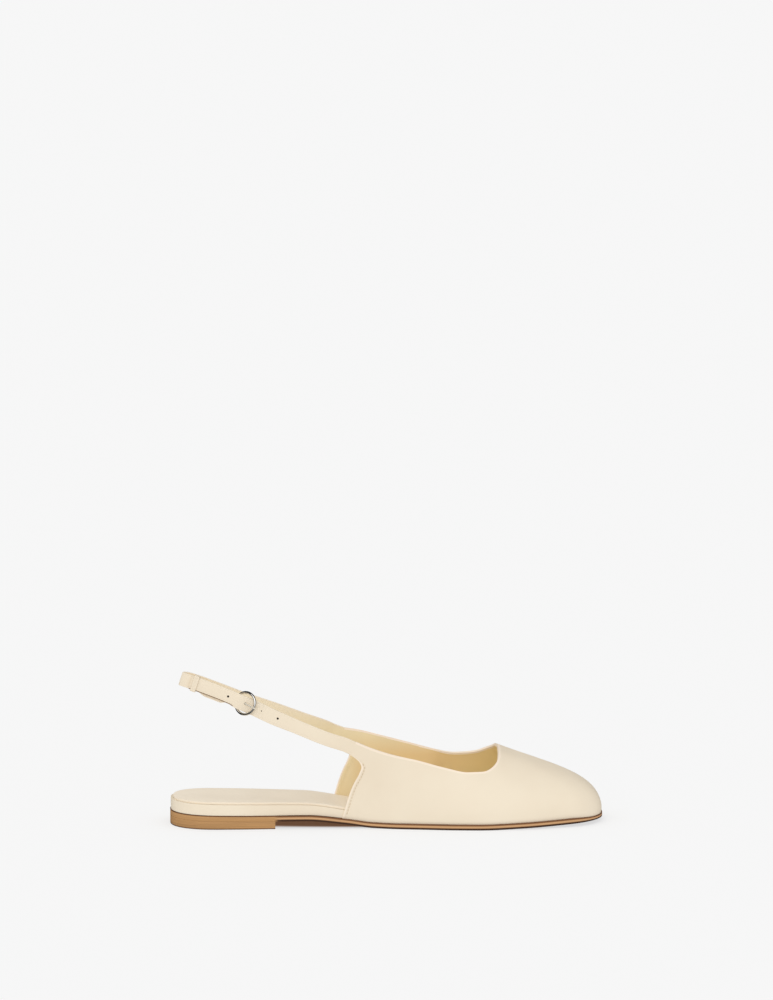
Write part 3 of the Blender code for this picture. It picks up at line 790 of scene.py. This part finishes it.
# %% [markdown]
# ## The upper
# Vamp and quarters are one shell pulled over the last. Each rib of the tables is a smooth curve
# from the sole's edge up to the topline. The outer face is a fine grid laid on these ribs. Near the
# two cut edges the grid is closer, so that the line of stitching can be shaped in the surface
# itself and the painted highlight along the folded edge stays narrow.


# %% Ribs
def feather_depth(x, y):
    """The upper's distance inside the sole's edge, less at the toe."""
    at_toe = soft_step(x, length - toe_round, length - toe_round / 3)
    return upper_inset + (upper_toe_inset - upper_inset) * at_toe


@functools.lru_cache(maxsize=None)
def feather_line(side):
    """The upper's bottom edge in plan, rear edge to toe tip, and the distances along it."""
    edges = outline_sides(feather_depth)
    edge = edges[0] if side < 0 else edges[1]
    start = quarter_foot - (inner_set_back if side > 0 else 0.0)
    front = [point for point in edge if point.x > start + 0.001]
    before = [point for point in edge if point.x <= start][-1]
    line = [before.lerp(front[0], (start - before.x) / (front[0].x - before.x))] + front
    return line, reaches(line)


@functools.lru_cache(maxsize=None)
def rib(side, run):
    """Start, two handles and end of one rib."""
    table = outer_ribs if side < 0 else inner_ribs
    line, reach = feather_line(side)
    foot = point_on(line, reach, reach[-1] * run)
    foot.z = sole_top(foot.x) + gap / 4
    rise = instep_height + (quarter_height - instep_height) * follow(table, run, 3)
    end = Vector((length * follow(table, run, 1), half_ball * follow(table, run, 2), rise))
    chord = (end - foot).length
    flat = Vector((foot.x - end.x, foot.y - end.y, 0)).normalized()
    slope = math.radians(follow(table, run, 6))
    outward = flat * math.cos(slope) + Vector((0, 0, -1)) * math.sin(slope)
    low = foot + (Vector((0, 0, 1)) + flat * feather_lean) * chord * follow(table, run, 4)
    high = end + outward * chord * follow(table, run, 5)
    return foot, low, high, end


def on_rib(side, run, share):
    """Point of a rib at a share of its way up."""
    foot, low, high, end = rib(side, run)
    rest = 1 - share
    return foot * rest**3 + low * 3 * rest**2 * share + high * 3 * rest * share**2 + end * share**3


lean_run = 0.16


def upper_point(side, run, share):
    """Point of the upper's outer face; near the rear it slides by the rear edge's lean."""
    point = on_rib(side, run, share)
    fade = 1 - soft_step(run, 0.0, lean_run)
    if fade > 0:
        forward = (on_rib(side, run + 0.02, share) - point).normalized()
        point += forward / forward.x * rear_edge_lean * follow(rear_table, share, 1) * fade
    return point


print("rib at the toe", [round(v, 4) for v in upper_point(-1, 1.0, 0.5)])

# %% Outer face
rear_runs = [0.0, 0.0015, 0.003, 0.005, 0.0075, 0.010, 0.0125, 0.015, 0.018, 0.022]
rear_runs += [0.027, 0.033, 0.040, 0.048, 0.056]
runs = rear_runs + spread(0.064, 1.0, 96)
shares = spread(0.0, 0.10, 9) + spread(0.12, 0.66, 24)[1:] + spread(0.67, 0.90, 24)
shares += spread(0.91, 0.95, 5) + spread(0.957, 1.0, 11)
stations = [(-1, run) for run in runs] + [(1, run) for run in reversed(runs[:-1])]
sheet = [[upper_point(side, run, share) for share in shares] for side, run in stations]
near_edge = 22
print("upper sheet", len(sheet), "columns", len(shares), "rows")


def edge_distance(i, j):
    """Distances to the topline and, below the strap, to the rear edge; 1 where it is far."""
    column, last = sheet[i], len(stations) - 1
    to_top = to_rear = 1.0
    if j > len(shares) - near_edge:
        to_top = sum((column[k + 1] - column[k]).length for k in range(j, len(shares) - 1))
    if min(i, last - i) < near_edge and shares[j] < strap_share:
        between = range(i) if i < (last + 1) / 2 else range(i, last)
        to_rear = sum((sheet[k + 1][j] - sheet[k][j]).length for k in between)
    return to_top, to_rear


# %% [markdown]
# The wall gets its thickness inwards from the outer face. The inner side takes the lining's
# material, and the rim is rounded. The faces near the rim, along the folded edge, get a paler
# cream: a painted highlight.

# %% Shell of the upper
seam_inset = 0.0019
seam_width = 0.00045
seam_depth = 0.00022
folded_edge = 0.0011
feather_tuck = 0.0002
tuck_share = 0.05
rear_fold_less = 0.0004
rim_round = 0.0005
edge_distances = {}


def upper_place(i, j):
    """Point of the outer face, with the seam's groove and the tuck at the sole."""
    to_top, to_rear = edge_distance(i, j)
    edge_distances[(i, j)] = min(to_top, to_rear + rear_fold_less)
    point = sheet[i][j].copy()
    left, right = sheet[max(i - 1, 0)][j], sheet[min(i + 1, len(sheet) - 1)][j]
    below, above = sheet[i][max(j - 1, 0)], sheet[i][min(j + 1, len(shares) - 1)]
    normal = (right - left).cross(above - below).normalized()
    groove = seam_depth * math.exp(-(((to_rear - seam_inset) / seam_width) ** 2))
    tuck = feather_tuck * (1 - soft_step(shares[j], 0.0, tuck_share))
    return point - normal * (groove + tuck)


upper = shaped_grid("upper_leather", len(sheet) - 1, len(shares) - 1, upper_place)
middle_face = upper.data.polygons[len(upper.data.polygons) // 2]
if middle_face.normal.z < 0:
    edit(upper, bpy.ops.mesh.flip_normals)
wall = upper.modifiers.new("wall", "SOLIDIFY")
wall.thickness, wall.offset, wall.use_even_offset = upper_wall, -1.0, True
wall.material_offset, wall.material_offset_rim = 1, 0
for material in (cream, lining, rim_painted_highlight, rim_painted_highlight):
    upper.data.materials.append(material)
grid_columns = len(sheet) - 1
# faces within the folded edge's width of the rim get the painted highlight
for face in upper.data.polygons:
    i, j = face.index % grid_columns, face.index // grid_columns
    if min(edge_distances[(i, j)], edge_distances[(i + 1, j + 1)]) < folded_edge:
        face.material_index = 2
apply_modifiers(upper)
round_edges(upper, rim_round, 3, angle=60)
dress(upper, [], ["upper"], smooth=50)

# %% [markdown]
# ## Stitches of the quarters
# A line of stitching runs down each quarter, just inside its rear edge. One stitch
# is a small ball stretched along the line. It is copied along the groove, and the
# copies are joined to one piece.

# %% Stitch line
stitch_step = 0.0019
stitch_long = 0.0014
stitch_thick = 0.00042
seam_from, seam_to = 0.03, 0.79


def seam_point(side, share):
    """Point on the surface, one seam inset in front of the rear edge."""
    run = seam_inset / feather_line(side)[1][-1]
    reached = (upper_point(side, run, share) - upper_point(side, 0.0, share)).length
    return upper_point(side, run * seam_inset / reached, share)


let_go()
bpy.ops.mesh.primitive_uv_sphere_add(segments=8, ring_count=6, radius=0.5)
first_stitch = bpy.context.object
first_stitch.data.transform(Matrix.Diagonal((stitch_long, stitch_thick, stitch_thick, 1)))
stitches = []
for side in (-1, 1):
    seam = [seam_point(side, share) for share in spread(seam_from, seam_to, 60)]
    seam_reach = reaches(seam)
    for step in range(1, int(seam_reach[-1] / stitch_step)):
        here = point_on(seam, seam_reach, step * stitch_step)
        ahead = point_on(seam, seam_reach, step * stitch_step + stitch_long / 2)
        turn = (ahead - here).to_track_quat("X", "Z").to_matrix().to_4x4()
        stitch = bpy.data.objects.new("stitch", first_stitch.data.copy())
        stitch.data.transform(Matrix.Translation(here + origin) @ turn)
        bpy.context.collection.objects.link(stitch)
        stitches.append(stitch)
bpy.data.objects.remove(first_stitch)
let_go()
for stitch in stitches:
    stitch.select_set(True)
bpy.context.view_layer.objects.active = stitches[0]
bpy.ops.object.join()
seam_thread = bpy.context.object
seam_thread.name = seam_thread.data.name = "quarter_stitches"
dress(seam_thread, [thread])

# %% [markdown]
# ## The strap's way
# The strap leaves the inner quarter, goes round the back of the heel and comes
# back to the outer quarter. Its middle line is a smooth curve through a table. At
# any distance along it, `strap_frame` gives the place and three directions: along
# the strap, up across its width, and out from the foot.

# %% Strap line
strap_top = 0.0816
strap_width = 0.0080
strap_thickness = 0.0016
sling_thickness = 0.0012
strap_lead = 0.0030
strap_blend = 0.0300
strap_taper = 0.0600
strap_lean = Vector((0.31, 0.0, 0.95)).normalized()
line_points = 281
strap_table = [
    (0.356, 0.592, 0.631),
    (0.311, 0.500, 0.686),
    (0.242, 0.372, 0.773),
    (0.174, 0.262, 0.852),
    (0.120, 0.186, 0.921),
    (0.068, 0.132, 0.985),
    (0.040, 0.098, 1.014),
    (0.0265, 0.020, 1.022),
    (0.040, -0.056, 1.011),
    (0.068, -0.092, 0.984),
    (0.120, -0.135, 0.925),
    (0.174, -0.210, 0.857),
    (0.242, -0.340, 0.766),
    (0.311, -0.474, 0.680),
    (0.360, -0.588, 0.627),
]


def quarter_end(side):
    """Middle of the wall where the strap leaves a quarter, direction up, way out and width."""
    top, low = upper_point(side, 0.0, 1.0), upper_point(side, 0.0, corner_share)
    ahead = rib(side, 0.05)[3]
    up = (top - low).normalized()
    face = (ahead - top).cross(up).normalized()
    if face.y * side < 0:
        face.negate()
    away = up.cross(face).normalized()
    if away.x > 0:
        away.negate()
    return (top + low) / 2 - face * upper_wall / 2, up, away, (top - low).length


first, first_up, first_way, first_width = quarter_end(1)
last, last_up, last_way, last_width = quarter_end(-1)
leads = (gap, strap_lead, strap_lead * 2)
line = [first + first_way * lead for lead in leads]
line += [Vector((length * x, half_ball * y, strap_top * z)) for x, y, z in strap_table]
line += [last + last_way * lead for lead in reversed(leads)]
line = smooth_line(line, line_points)
line_reach = reaches(line)
strap_end = line_reach[-1]
print("strap line", round(strap_end * 1000, 1), "mm")


# %% Strap frame
def on_strap(distance):
    """Point of the strap's middle line; it goes on straight past its ends."""
    return point_on(line, line_reach, distance)


def strap_frame(distance):
    """Place, direction along, up and out at a distance along the strap."""
    along = (on_strap(distance + 0.003) - on_strap(distance - 0.003)).normalized()
    lean = first_up.lerp(strap_lean, soft_step(distance, 0.0, strap_blend))
    lean = lean.lerp(last_up, soft_step(distance, strap_end - strap_blend, strap_end))
    up = (lean - along * lean.dot(along)).normalized()
    return on_strap(distance), along, up, along.cross(up)


def width_at(distance):
    """Width of the strap."""
    wide = first_width + (strap_width - first_width) * soft_step(distance, 0.0, strap_taper)
    return wide + (last_width - wide) * soft_step(distance, strap_end - strap_taper, strap_end)


def outer_side(x):
    """Distance along the strap of the point at x on the outer side."""
    distance = strap_end
    while on_strap(distance).x > x:
        distance -= 0.0001
    return distance


ring_at = 0.0430
ring_middle = outer_side(ring_at)
print("buckle at", round(ring_middle * 1000, 1), "mm along the strap")

# %% [markdown]
# ## The buckle's numbers
# The ring sits at a slight tilt: its front passes over the holed strap and its
# rear, the bar, under it. The sling strap is folded round the bar. These lengths
# place each layer of leather above or below the others without touching.

# %% Buckle layout
ring_wire = 0.0015
ring_diameter = 0.0142
ring_radius = (ring_diameter - ring_wire) / 2
ring_tilt = math.radians(20)
fold_width = 0.0056
fold_length = 0.0125
bar_clear = 0.0024
bar_ease = 0.0066
over_strap = strap_thickness / 2 + gap + ring_wire / 2
edge_reach = math.sqrt(ring_radius**2 - (strap_width / 2 + gap) ** 2)
ring_middle_out = over_strap - math.sin(ring_tilt) * edge_reach
bar_along = -ring_radius * math.cos(ring_tilt)
bar_out = ring_middle_out - ring_radius * math.sin(ring_tilt)
bar_sag = ring_radius - math.sqrt(ring_radius**2 - (fold_width / 2) ** 2)
fold_radius = ring_wire / 2 + gap + bar_sag * math.sin(ring_tilt) + sling_thickness / 2
fold_out = bar_out + fold_radius
tail_over = sling_thickness / 2 + gap + strap_thickness / 2


def behind_bar(beside):
    """0 well behind the bar, 1 at it."""
    return soft_step(beside, bar_along - bar_clear - bar_ease, bar_along - bar_clear)


def sling_out(beside):
    """Outward shift of the sling strap at a distance beside the ring's middle."""
    return fold_out * behind_bar(beside)


def holed_out(beside):
    """Outward shift of the holed strap."""
    over_bar = fold_out + tail_over
    drop = soft_step(beside, bar_along + ring_wire, edge_reach - ring_wire * 0.7)
    return over_bar * (1 - drop) + (tail_over - over_bar) * (1 - behind_bar(beside))


print("fold radius", round(fold_radius * 1000, 2), "mm")

# %% [markdown]
# ## Strap leather
# A strap is a bar with a soft section: two faces with a shallow line pressed a
# millimetre inside each edge, and rounded edges. A grid is wrapped round that
# section at every station, its seam is welded and its two ends are filled.


# %% Strap section
corner_turns = (68, 45, 22, 0, -22, -45, -68)
corner_steps = len(corner_turns)


def section(width, thickness):
    """Places across and out, round a strap's section."""
    round_off = thickness * 0.42
    half, flat = width / 2, thickness / 2 - round_off
    from_edge = [round_off, 0.00075, 0.0010, 0.00125, 0.0018]
    dips = [0.0, 0.00002, 0.00010, 0.00002, 0.0]
    across = [(d - half, dip) for d, dip in zip(from_edge, dips)] + [(0.0, 0.0)]
    across += [(half - d, dip) for d, dip in zip(reversed(from_edge), reversed(dips))]

    def edge(side):
        places = []
        for angle in map(math.radians, corner_turns):
            beyond = half - round_off + round_off * math.cos(angle)
            level = flat * ((angle > 0) - (angle < 0)) + round_off * math.sin(angle)
            places.append((side * beyond, side * level))
        return places

    outer_face = [(a, thickness / 2 - dip) for a, dip in across]
    inner_face = [(a, -thickness / 2 + dip) for a, dip in reversed(across)]
    return outer_face + edge(1) + inner_face + edge(-1)


def strap_piece(name, strap_stations, thickness, painted=0):
    """A strap through stations of place, up, out and width; the first stations may carry a painted
    gap shadow on the lower edge.
    """
    count = len(section(strap_width, thickness))

    def place(i, j):
        middle, up, out, width = strap_stations[i]
        across, off = section(width, thickness)[j % count]
        return middle + up * across + out * off

    columns = len(strap_stations) - 1
    item = shaped_grid(name, columns, count, place)
    for material in (cream, lining, gap_painted_shadow):
        item.data.materials.append(material)
    for face in item.data.polygons:
        row, column = face.index // columns, face.index % columns
        face.material_index = 1 if count / 2 < row < count - corner_steps - 1 else 0
        # lower edge of the first painted columns: painted shadow of the gap between the two straps
        if column < painted and row >= count - corner_steps // 2 - 1:
            face.material_index = 2
    edit(item, weld, lambda: bpy.ops.mesh.fill_holes(sides=0), face_out)
    return item


print("section corners", len(section(strap_width, strap_thickness)))

# %% [markdown]
# ## The two straps
# The outer strap runs under the ring, over its bar and on to the tail. It is a little swollen and
# creased where the buckle bends it. Its holes are punched by boolean cutters from both faces, which
# almost meet. The near-black walls and the thin web left between them are painted shade, so each
# hole looks dark. The sling strap comes round the heel and is folded round the ring's bar.

# %% Holed strap
tuck_in = 0.0006
holed_count = 260
ring_swell = 0.0008
swell_rise, swell_fall = (-0.009, -0.003), (0.016, 0.036)
crease_place = 0.0098
crease_reach = 0.0022
crease_wave = 0.0021
crease_depth = 0.00035


def crease(beside):
    """Fine folds across the strap, where it bends in front of the ring."""
    off = beside - crease_place
    ripple = (1 + math.cos(math.tau * off / crease_wave)) / 2
    return -crease_depth * math.exp(-((off / crease_reach) ** 2)) * ripple


tail_at = 0.0122
tail_start = outer_side(tail_at)
holed_stations = []
for distance in spread(tail_start, strap_end + tuck_in, holed_count):
    middle, along, up, out = strap_frame(distance)
    beside = distance - ring_middle
    shift = holed_out(beside) + crease(beside)
    swell = ring_swell * soft_step(beside, *swell_rise) * (1 - soft_step(beside, *swell_fall))
    place = middle + out * shift - up * swell / 2
    holed_stations.append((place, up, out, width_at(distance) + swell))
# columns from the tail's start to the bar get the painted gap shadow
tail_share = (ring_middle + bar_along - tail_start) / (strap_end + tuck_in - tail_start)
painted = round(holed_count * tail_share)
holed_strap = strap_piece("strap_with_holes", holed_stations, strap_thickness, painted)
holed_strap.data.materials.append(hole_shade)
print("strap through the ring,", painted, "painted stations")

# %% Punched holes
hole_spacing = 0.0105
hole_diameter = 0.0013
# a thin web is left between the two cutters; with the near-black walls it is painted shade in each
# hole
hole_web = 0.0002
first_hole, hole_count = -1, 4
faint_hole, faint_share = 1, 0.55
for number, side in itertools.product(range(first_hole, first_hole + hole_count), (1, -1)):
    distance = ring_middle + number * hole_spacing
    middle, along, up, out = strap_frame(distance)
    beside = distance - ring_middle
    rise = holed_out(beside + gap) - holed_out(beside - gap)
    through = (out * 2 * gap - along * rise).normalized()
    off_middle = through * side * (strap_thickness + hole_web) / 2
    let_go()
    bpy.ops.mesh.primitive_cylinder_add(
        vertices=28,
        radius=hole_diameter / 2 * (faint_share if number == faint_hole else 1),
        depth=strap_thickness,
        location=middle + origin + out * holed_out(beside) + off_middle,
        rotation=through.to_track_quat("Z", "X").to_euler(),
    )
    punch = bpy.context.object
    punch.data.materials.append(hole_shade)
    tool = holed_strap.modifiers.new("hole", "BOOLEAN")
    tool.operation, tool.solver, tool.object = "DIFFERENCE", "EXACT", punch
    tool.material_mode = "TRANSFER"
    apply_modifiers(holed_strap)
    bpy.data.objects.remove(punch)
dress(holed_strap, [cream], ["holed_strap"])

# %% Sling strap
sling_count, fold_count, under_count = 190, 14, 16
sling_sink = 0.0015
sink_start, sink_end = 0.0163, 0.0223
sink_from, sink_to = outer_side(sink_start), outer_side(sink_end)
bend = ring_middle + bar_along + bar_sag
sling_stations = []
for distance in spread(-tuck_in, bend, sling_count):
    middle, along, up, out = strap_frame(distance)
    narrow = soft_step(distance - bend, -bar_clear - bar_ease, -bar_clear)
    width = width_at(distance) * (1 - narrow) + fold_width * narrow
    sink = sling_sink * soft_step(distance, sink_from, sink_to) * (1 - narrow)
    place = middle - up * sink + out * sling_out(distance - ring_middle)
    sling_stations.append((place, up, out, width))
middle, along, up, out = strap_frame(bend)
for turn in spread(0.0, math.pi, fold_count)[1:]:
    moved = along * math.sin(turn) * fold_radius + out * (bar_out + math.cos(turn) * fold_radius)
    facing = along * math.sin(turn) + out * math.cos(turn)
    sling_stations.append((middle + moved, up, facing, fold_width))
for back in spread(0.0, fold_length, under_count)[1:]:
    middle, along, up, out = strap_frame(bend - back)
    under = sling_out(bend - back - ring_middle) - sling_thickness - gap
    low = bar_out - fold_radius
    shift = low + (under - low) * soft_step(back, bar_clear, bar_clear + bar_ease)
    sling_stations.append((middle + out * shift, up, -out, fold_width))
sling_strap = strap_piece("strap_round_heel", sling_stations, sling_thickness)
dress(sling_strap, [cream], ["sling_strap"])

# %% [markdown]
# ## Keeper
# A narrow leather loop holds the strap's tail. It is a flat band bent round the
# two layers of strap, so it is made as a short strap on a rectangular way.

# %% Keeper loop
keeper_width = 0.0030
keeper_thickness = 0.00045
keeper_at = 0.0145
keeper_distance = outer_side(keeper_at)
middle, along, up, out = strap_frame(keeper_distance)
half_up = width_at(keeper_distance) / 2 + gap + keeper_thickness / 2
low_out = -sling_thickness / 2 - gap - keeper_thickness / 2
high_out = tail_over + strap_thickness / 2 + gap + keeper_thickness / 2
corner = keeper_thickness
keeper_path = []
for number, (side_up, side_out) in enumerate(((1, 1), (-1, 1), (-1, -1), (1, -1))):
    for turn in spread(90 * number, 90 * number + 90, 7):
        angle = math.radians(turn)
        middle_out = (high_out - corner) if side_out > 0 else (low_out + corner)
        normal = up * math.cos(angle) + out * math.sin(angle)
        centre = up * (side_up * (half_up - corner)) + out * middle_out
        keeper_path.append((centre + normal * corner, normal))
keeper_section = section(keeper_width, keeper_thickness)


def keeper_place(i, j):
    """Point of the keeper: its section, laid along the path."""
    shift, normal = keeper_path[i % len(keeper_path)]
    across, off = keeper_section[j % len(keeper_section)]
    return middle + shift + along * across + normal * off


keeper = shaped_grid("strap_loop_keeper", len(keeper_path), len(keeper_section), keeper_place)
edit(keeper, weld, face_out)
dress(keeper, [cream], ["strap_keeper"])

# %% [markdown]
# ## Buckle
# The ring is a polished wire ring. A torus primitive is added at its size, and a
# matrix lays it in the strap's frame at its tilt. The prong's shape is already
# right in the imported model, so a smoothed copy of it, with a satin finish, takes
# its place.


# %% Polished metal
def plated_metal(name, colour, metallic, roughness):
    """Plated metal with faint polishing marks."""
    material, tree, shader = new_material(name)
    shader.inputs["Base Color"].default_value = (*colour, 1)
    shader.inputs["Metallic"].default_value = metallic
    marks = add_node(tree, "TexNoise", {"Scale": 900, "Detail": 3})
    gloss = ranged(tree, marks.outputs["Fac"], 0.0, 1.0, roughness * 0.6, roughness * 1.5)
    link(
        tree,
        (add_node(tree, "TexCoord").outputs["Object"], marks.inputs["Vector"]),
        (gloss, shader.inputs["Roughness"]),
    )
    return material


silver = plated_metal("polished silver plate", (0.86, 0.85, 0.82), 1, 0.035)
satin = plated_metal("satin prong", (0.88, 0.82, 0.70), 0.35, 0.4)
print("metals", silver.name, satin.name)

# %% Ring and prong
middle, along, up, out = strap_frame(ring_middle)
reach = (along * math.cos(ring_tilt) + out * math.sin(ring_tilt)).normalized()
normal = (out * math.cos(ring_tilt) - along * math.sin(ring_tilt)).normalized()
across = normal.cross(reach).normalized()
let_go()
bpy.ops.mesh.primitive_torus_add(
    major_segments=112,
    minor_segments=24,
    major_radius=ring_radius,
    minor_radius=ring_wire / 2,
)
ring = bpy.context.object
ring.name = ring.data.name = "buckle_ring_polished"
turn = Matrix((reach, across, normal)).transposed().to_4x4()
ring.data.transform(Matrix.Translation(middle + origin + out * ring_middle_out) @ turn)
edit(ring, face_out)
dress(ring, [silver], ["buckle_ring"], smooth=180)

prong = bpy.data.objects.new("buckle_prong_polished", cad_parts["buckle_prong"].data.copy())
bpy.context.collection.objects.link(prong)
prong.data.materials.clear()
edit(prong, weld, bpy.ops.mesh.tris_convert_to_quads, face_out)
dress(prong, [satin], ["buckle_prong"], smooth=60)

# %% [markdown]
# ## Stage, light and camera
# The shoe stands on a pale floor in soft light from all around, with one broad light from above in
# front for shape. The floor is so wide that it fills the picture. It glows a little, to be as pale
# as paper in a studio. A dim warm patch under the shoe is a painted shadow, in place of the light
# that the shoe keeps away. The camera looks from the outer side, a little from above, through a
# long lens, so the shoe shows almost without perspective.

# %% Floor
floor_grey = 0.28
floor_glow, mirrored_glow = 0.66, 0.12
# place, size and depth of the painted shadow patch under the shoe
patch_shift = (-0.01, 0.03, 0)
patch_half_length, patch_half_width = 0.118, 0.0245
patch_inside, patch_outside, patch_glow = 0.80, 1.05, 0.2
let_go()
bpy.ops.mesh.primitive_plane_add(size=60, location=(0, 0, 0))
floor = bpy.context.object
floor.name = "floor"
floor_finish, tree, shader = new_material("pale floor")
shader.inputs["Base Color"].default_value = (floor_grey, floor_grey, floor_grey, 1)
shader.inputs["Roughness"].default_value = 0.9
shader.inputs["Specular IOR Level"].default_value = 0.0
mirror_rays = add_node(tree, "LightPath").outputs["Is Glossy Ray"]
glow = ranged(tree, mirror_rays, 0.0, 1.0, floor_glow, mirrored_glow)
squeezed = (1 / patch_half_length, 1 / patch_half_width, 0)
squeeze = add_node(tree, "Mapping", {"Location": patch_shift, "Scale": squeezed})
from_middle = add_node(tree, "VectorMath", operation="LENGTH")
painted_shadow = ranged(tree, from_middle.outputs["Value"], patch_inside, patch_outside, patch_glow)
painted_shadow_tint = coloured(tree, painted_shadow, [(0.2, (1.0, 0.5, 0.27)), (0.75, (1, 1, 1))])
shaded = add_node(tree, "Math", operation="MULTIPLY")
link(
    tree,
    (add_node(tree, "TexCoord").outputs["Object"], squeeze.inputs["Vector"]),
    (squeeze.outputs["Vector"], from_middle.inputs[0]),
    (painted_shadow, shaded.inputs[0]),
    (glow, shaded.inputs[1]),
    (shaded.outputs["Value"], shader.inputs["Emission Strength"]),
    (painted_shadow_tint, shader.inputs["Emission Color"]),
)
floor.data.materials.append(floor_finish)
floor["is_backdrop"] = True
print("floor", floor.dimensions[:])

# %% Light
sky_strength = 0.88
key_strength = 0.40
key_spread = math.radians(50)
key_from = Vector((-0.2, -1.0, 0.75))
scene = bpy.context.scene
scene.view_settings.view_transform = "Standard"
scene.view_settings.look = "None"
world = bpy.data.worlds.new("soft studio")
world.use_nodes = True
sky = world.node_tree.nodes["Background"]
sky.inputs["Color"].default_value = (1, 1, 1, 1)
sky.inputs["Strength"].default_value = sky_strength
scene.world = world
key_data = bpy.data.lights.new("key", "SUN")
key_data.energy, key_data.angle = key_strength, key_spread
key = bpy.data.objects.new("key", key_data)
bpy.context.collection.objects.link(key)
key.rotation_euler = key_from.to_track_quat("Z", "Y").to_euler()
print("lights", key.name, round(key_data.energy, 2))

# %% [markdown]
# A polished ring is drawn by what it mirrors. Dark cards behind, beside, above and
# below the shoe are seen by mirror rays alone, so they put the black arcs on the
# ring and change nothing in the soft light on the leather.

# %% Dark cards
card_size = 3.0
card_black, tree, shader = new_material("black card")
shader.inputs["Base Color"].default_value = (0.01, 0.01, 0.01, 1)
cards = {
    "card_behind": ((0, 1.5, 0.8), (90, 0, 0)),
    "card_left": ((-1.5, 0.4, 0.8), (0, 90, 0)),
    "card_right": ((1.5, 0.4, 0.8), (0, 90, 0)),
    "card_above": ((0, 0.5, 1.6), (0, 0, 0)),
    "card_below": ((0, 0, 0.0004), (0, 0, 0)),
}
for name, (place, turn) in cards.items():
    let_go()
    rotation = [math.radians(angle) for angle in turn]
    bpy.ops.mesh.primitive_plane_add(size=card_size, location=place, rotation=rotation)
    card = bpy.context.object
    card.name = name
    card.data.materials.append(card_black)
    card.visible_camera = card.visible_diffuse = card.visible_shadow = False
    card.visible_transmission = card.visible_volume_scatter = False
    card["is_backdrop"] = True
print(len(cards), "dark cards")

# %% Camera
view_side = math.radians(-3.0)
view_up = math.radians(9.3)
distance = 6.0
frame_height = 0.576
sensor = 24
drop = 0.1845
side_nudge = -0.00046
mark = Vector((0.0005, -0.001, 0.0))
axis_up = view_up - math.atan(drop / distance)
camera_data = bpy.data.cameras.new("camera")
camera_data.sensor_fit = "VERTICAL"
camera_data.sensor_height = camera_data.sensor_width = sensor
camera_data.lens = sensor * distance / frame_height
camera_data.clip_end = 200
camera = bpy.data.objects.new("camera", camera_data)
bpy.context.collection.objects.link(camera)
right = Vector((math.cos(view_side), math.sin(view_side), 0))
flat = math.cos(axis_up)
back = Vector((math.sin(view_side) * flat, -math.cos(view_side) * flat, math.sin(axis_up)))
lift = back.cross(right)
aim = mark + right * side_nudge + lift * drop
camera.location = aim + back * distance
camera.rotation_euler = back.to_track_quat("Z", "Y").to_euler()
scene.camera = camera
print("camera", [round(v, 3) for v in camera.location], "lens", round(camera_data.lens, 1))

# %% [markdown]
# ## Sizes
# The box of the visible pieces, floor and cards left out, is printed. The finished shoe
# has to stay in the frame's box.

# %% Visual box
low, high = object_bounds()
print("visual box", [round(value, 4) for value in (*low, *high)])
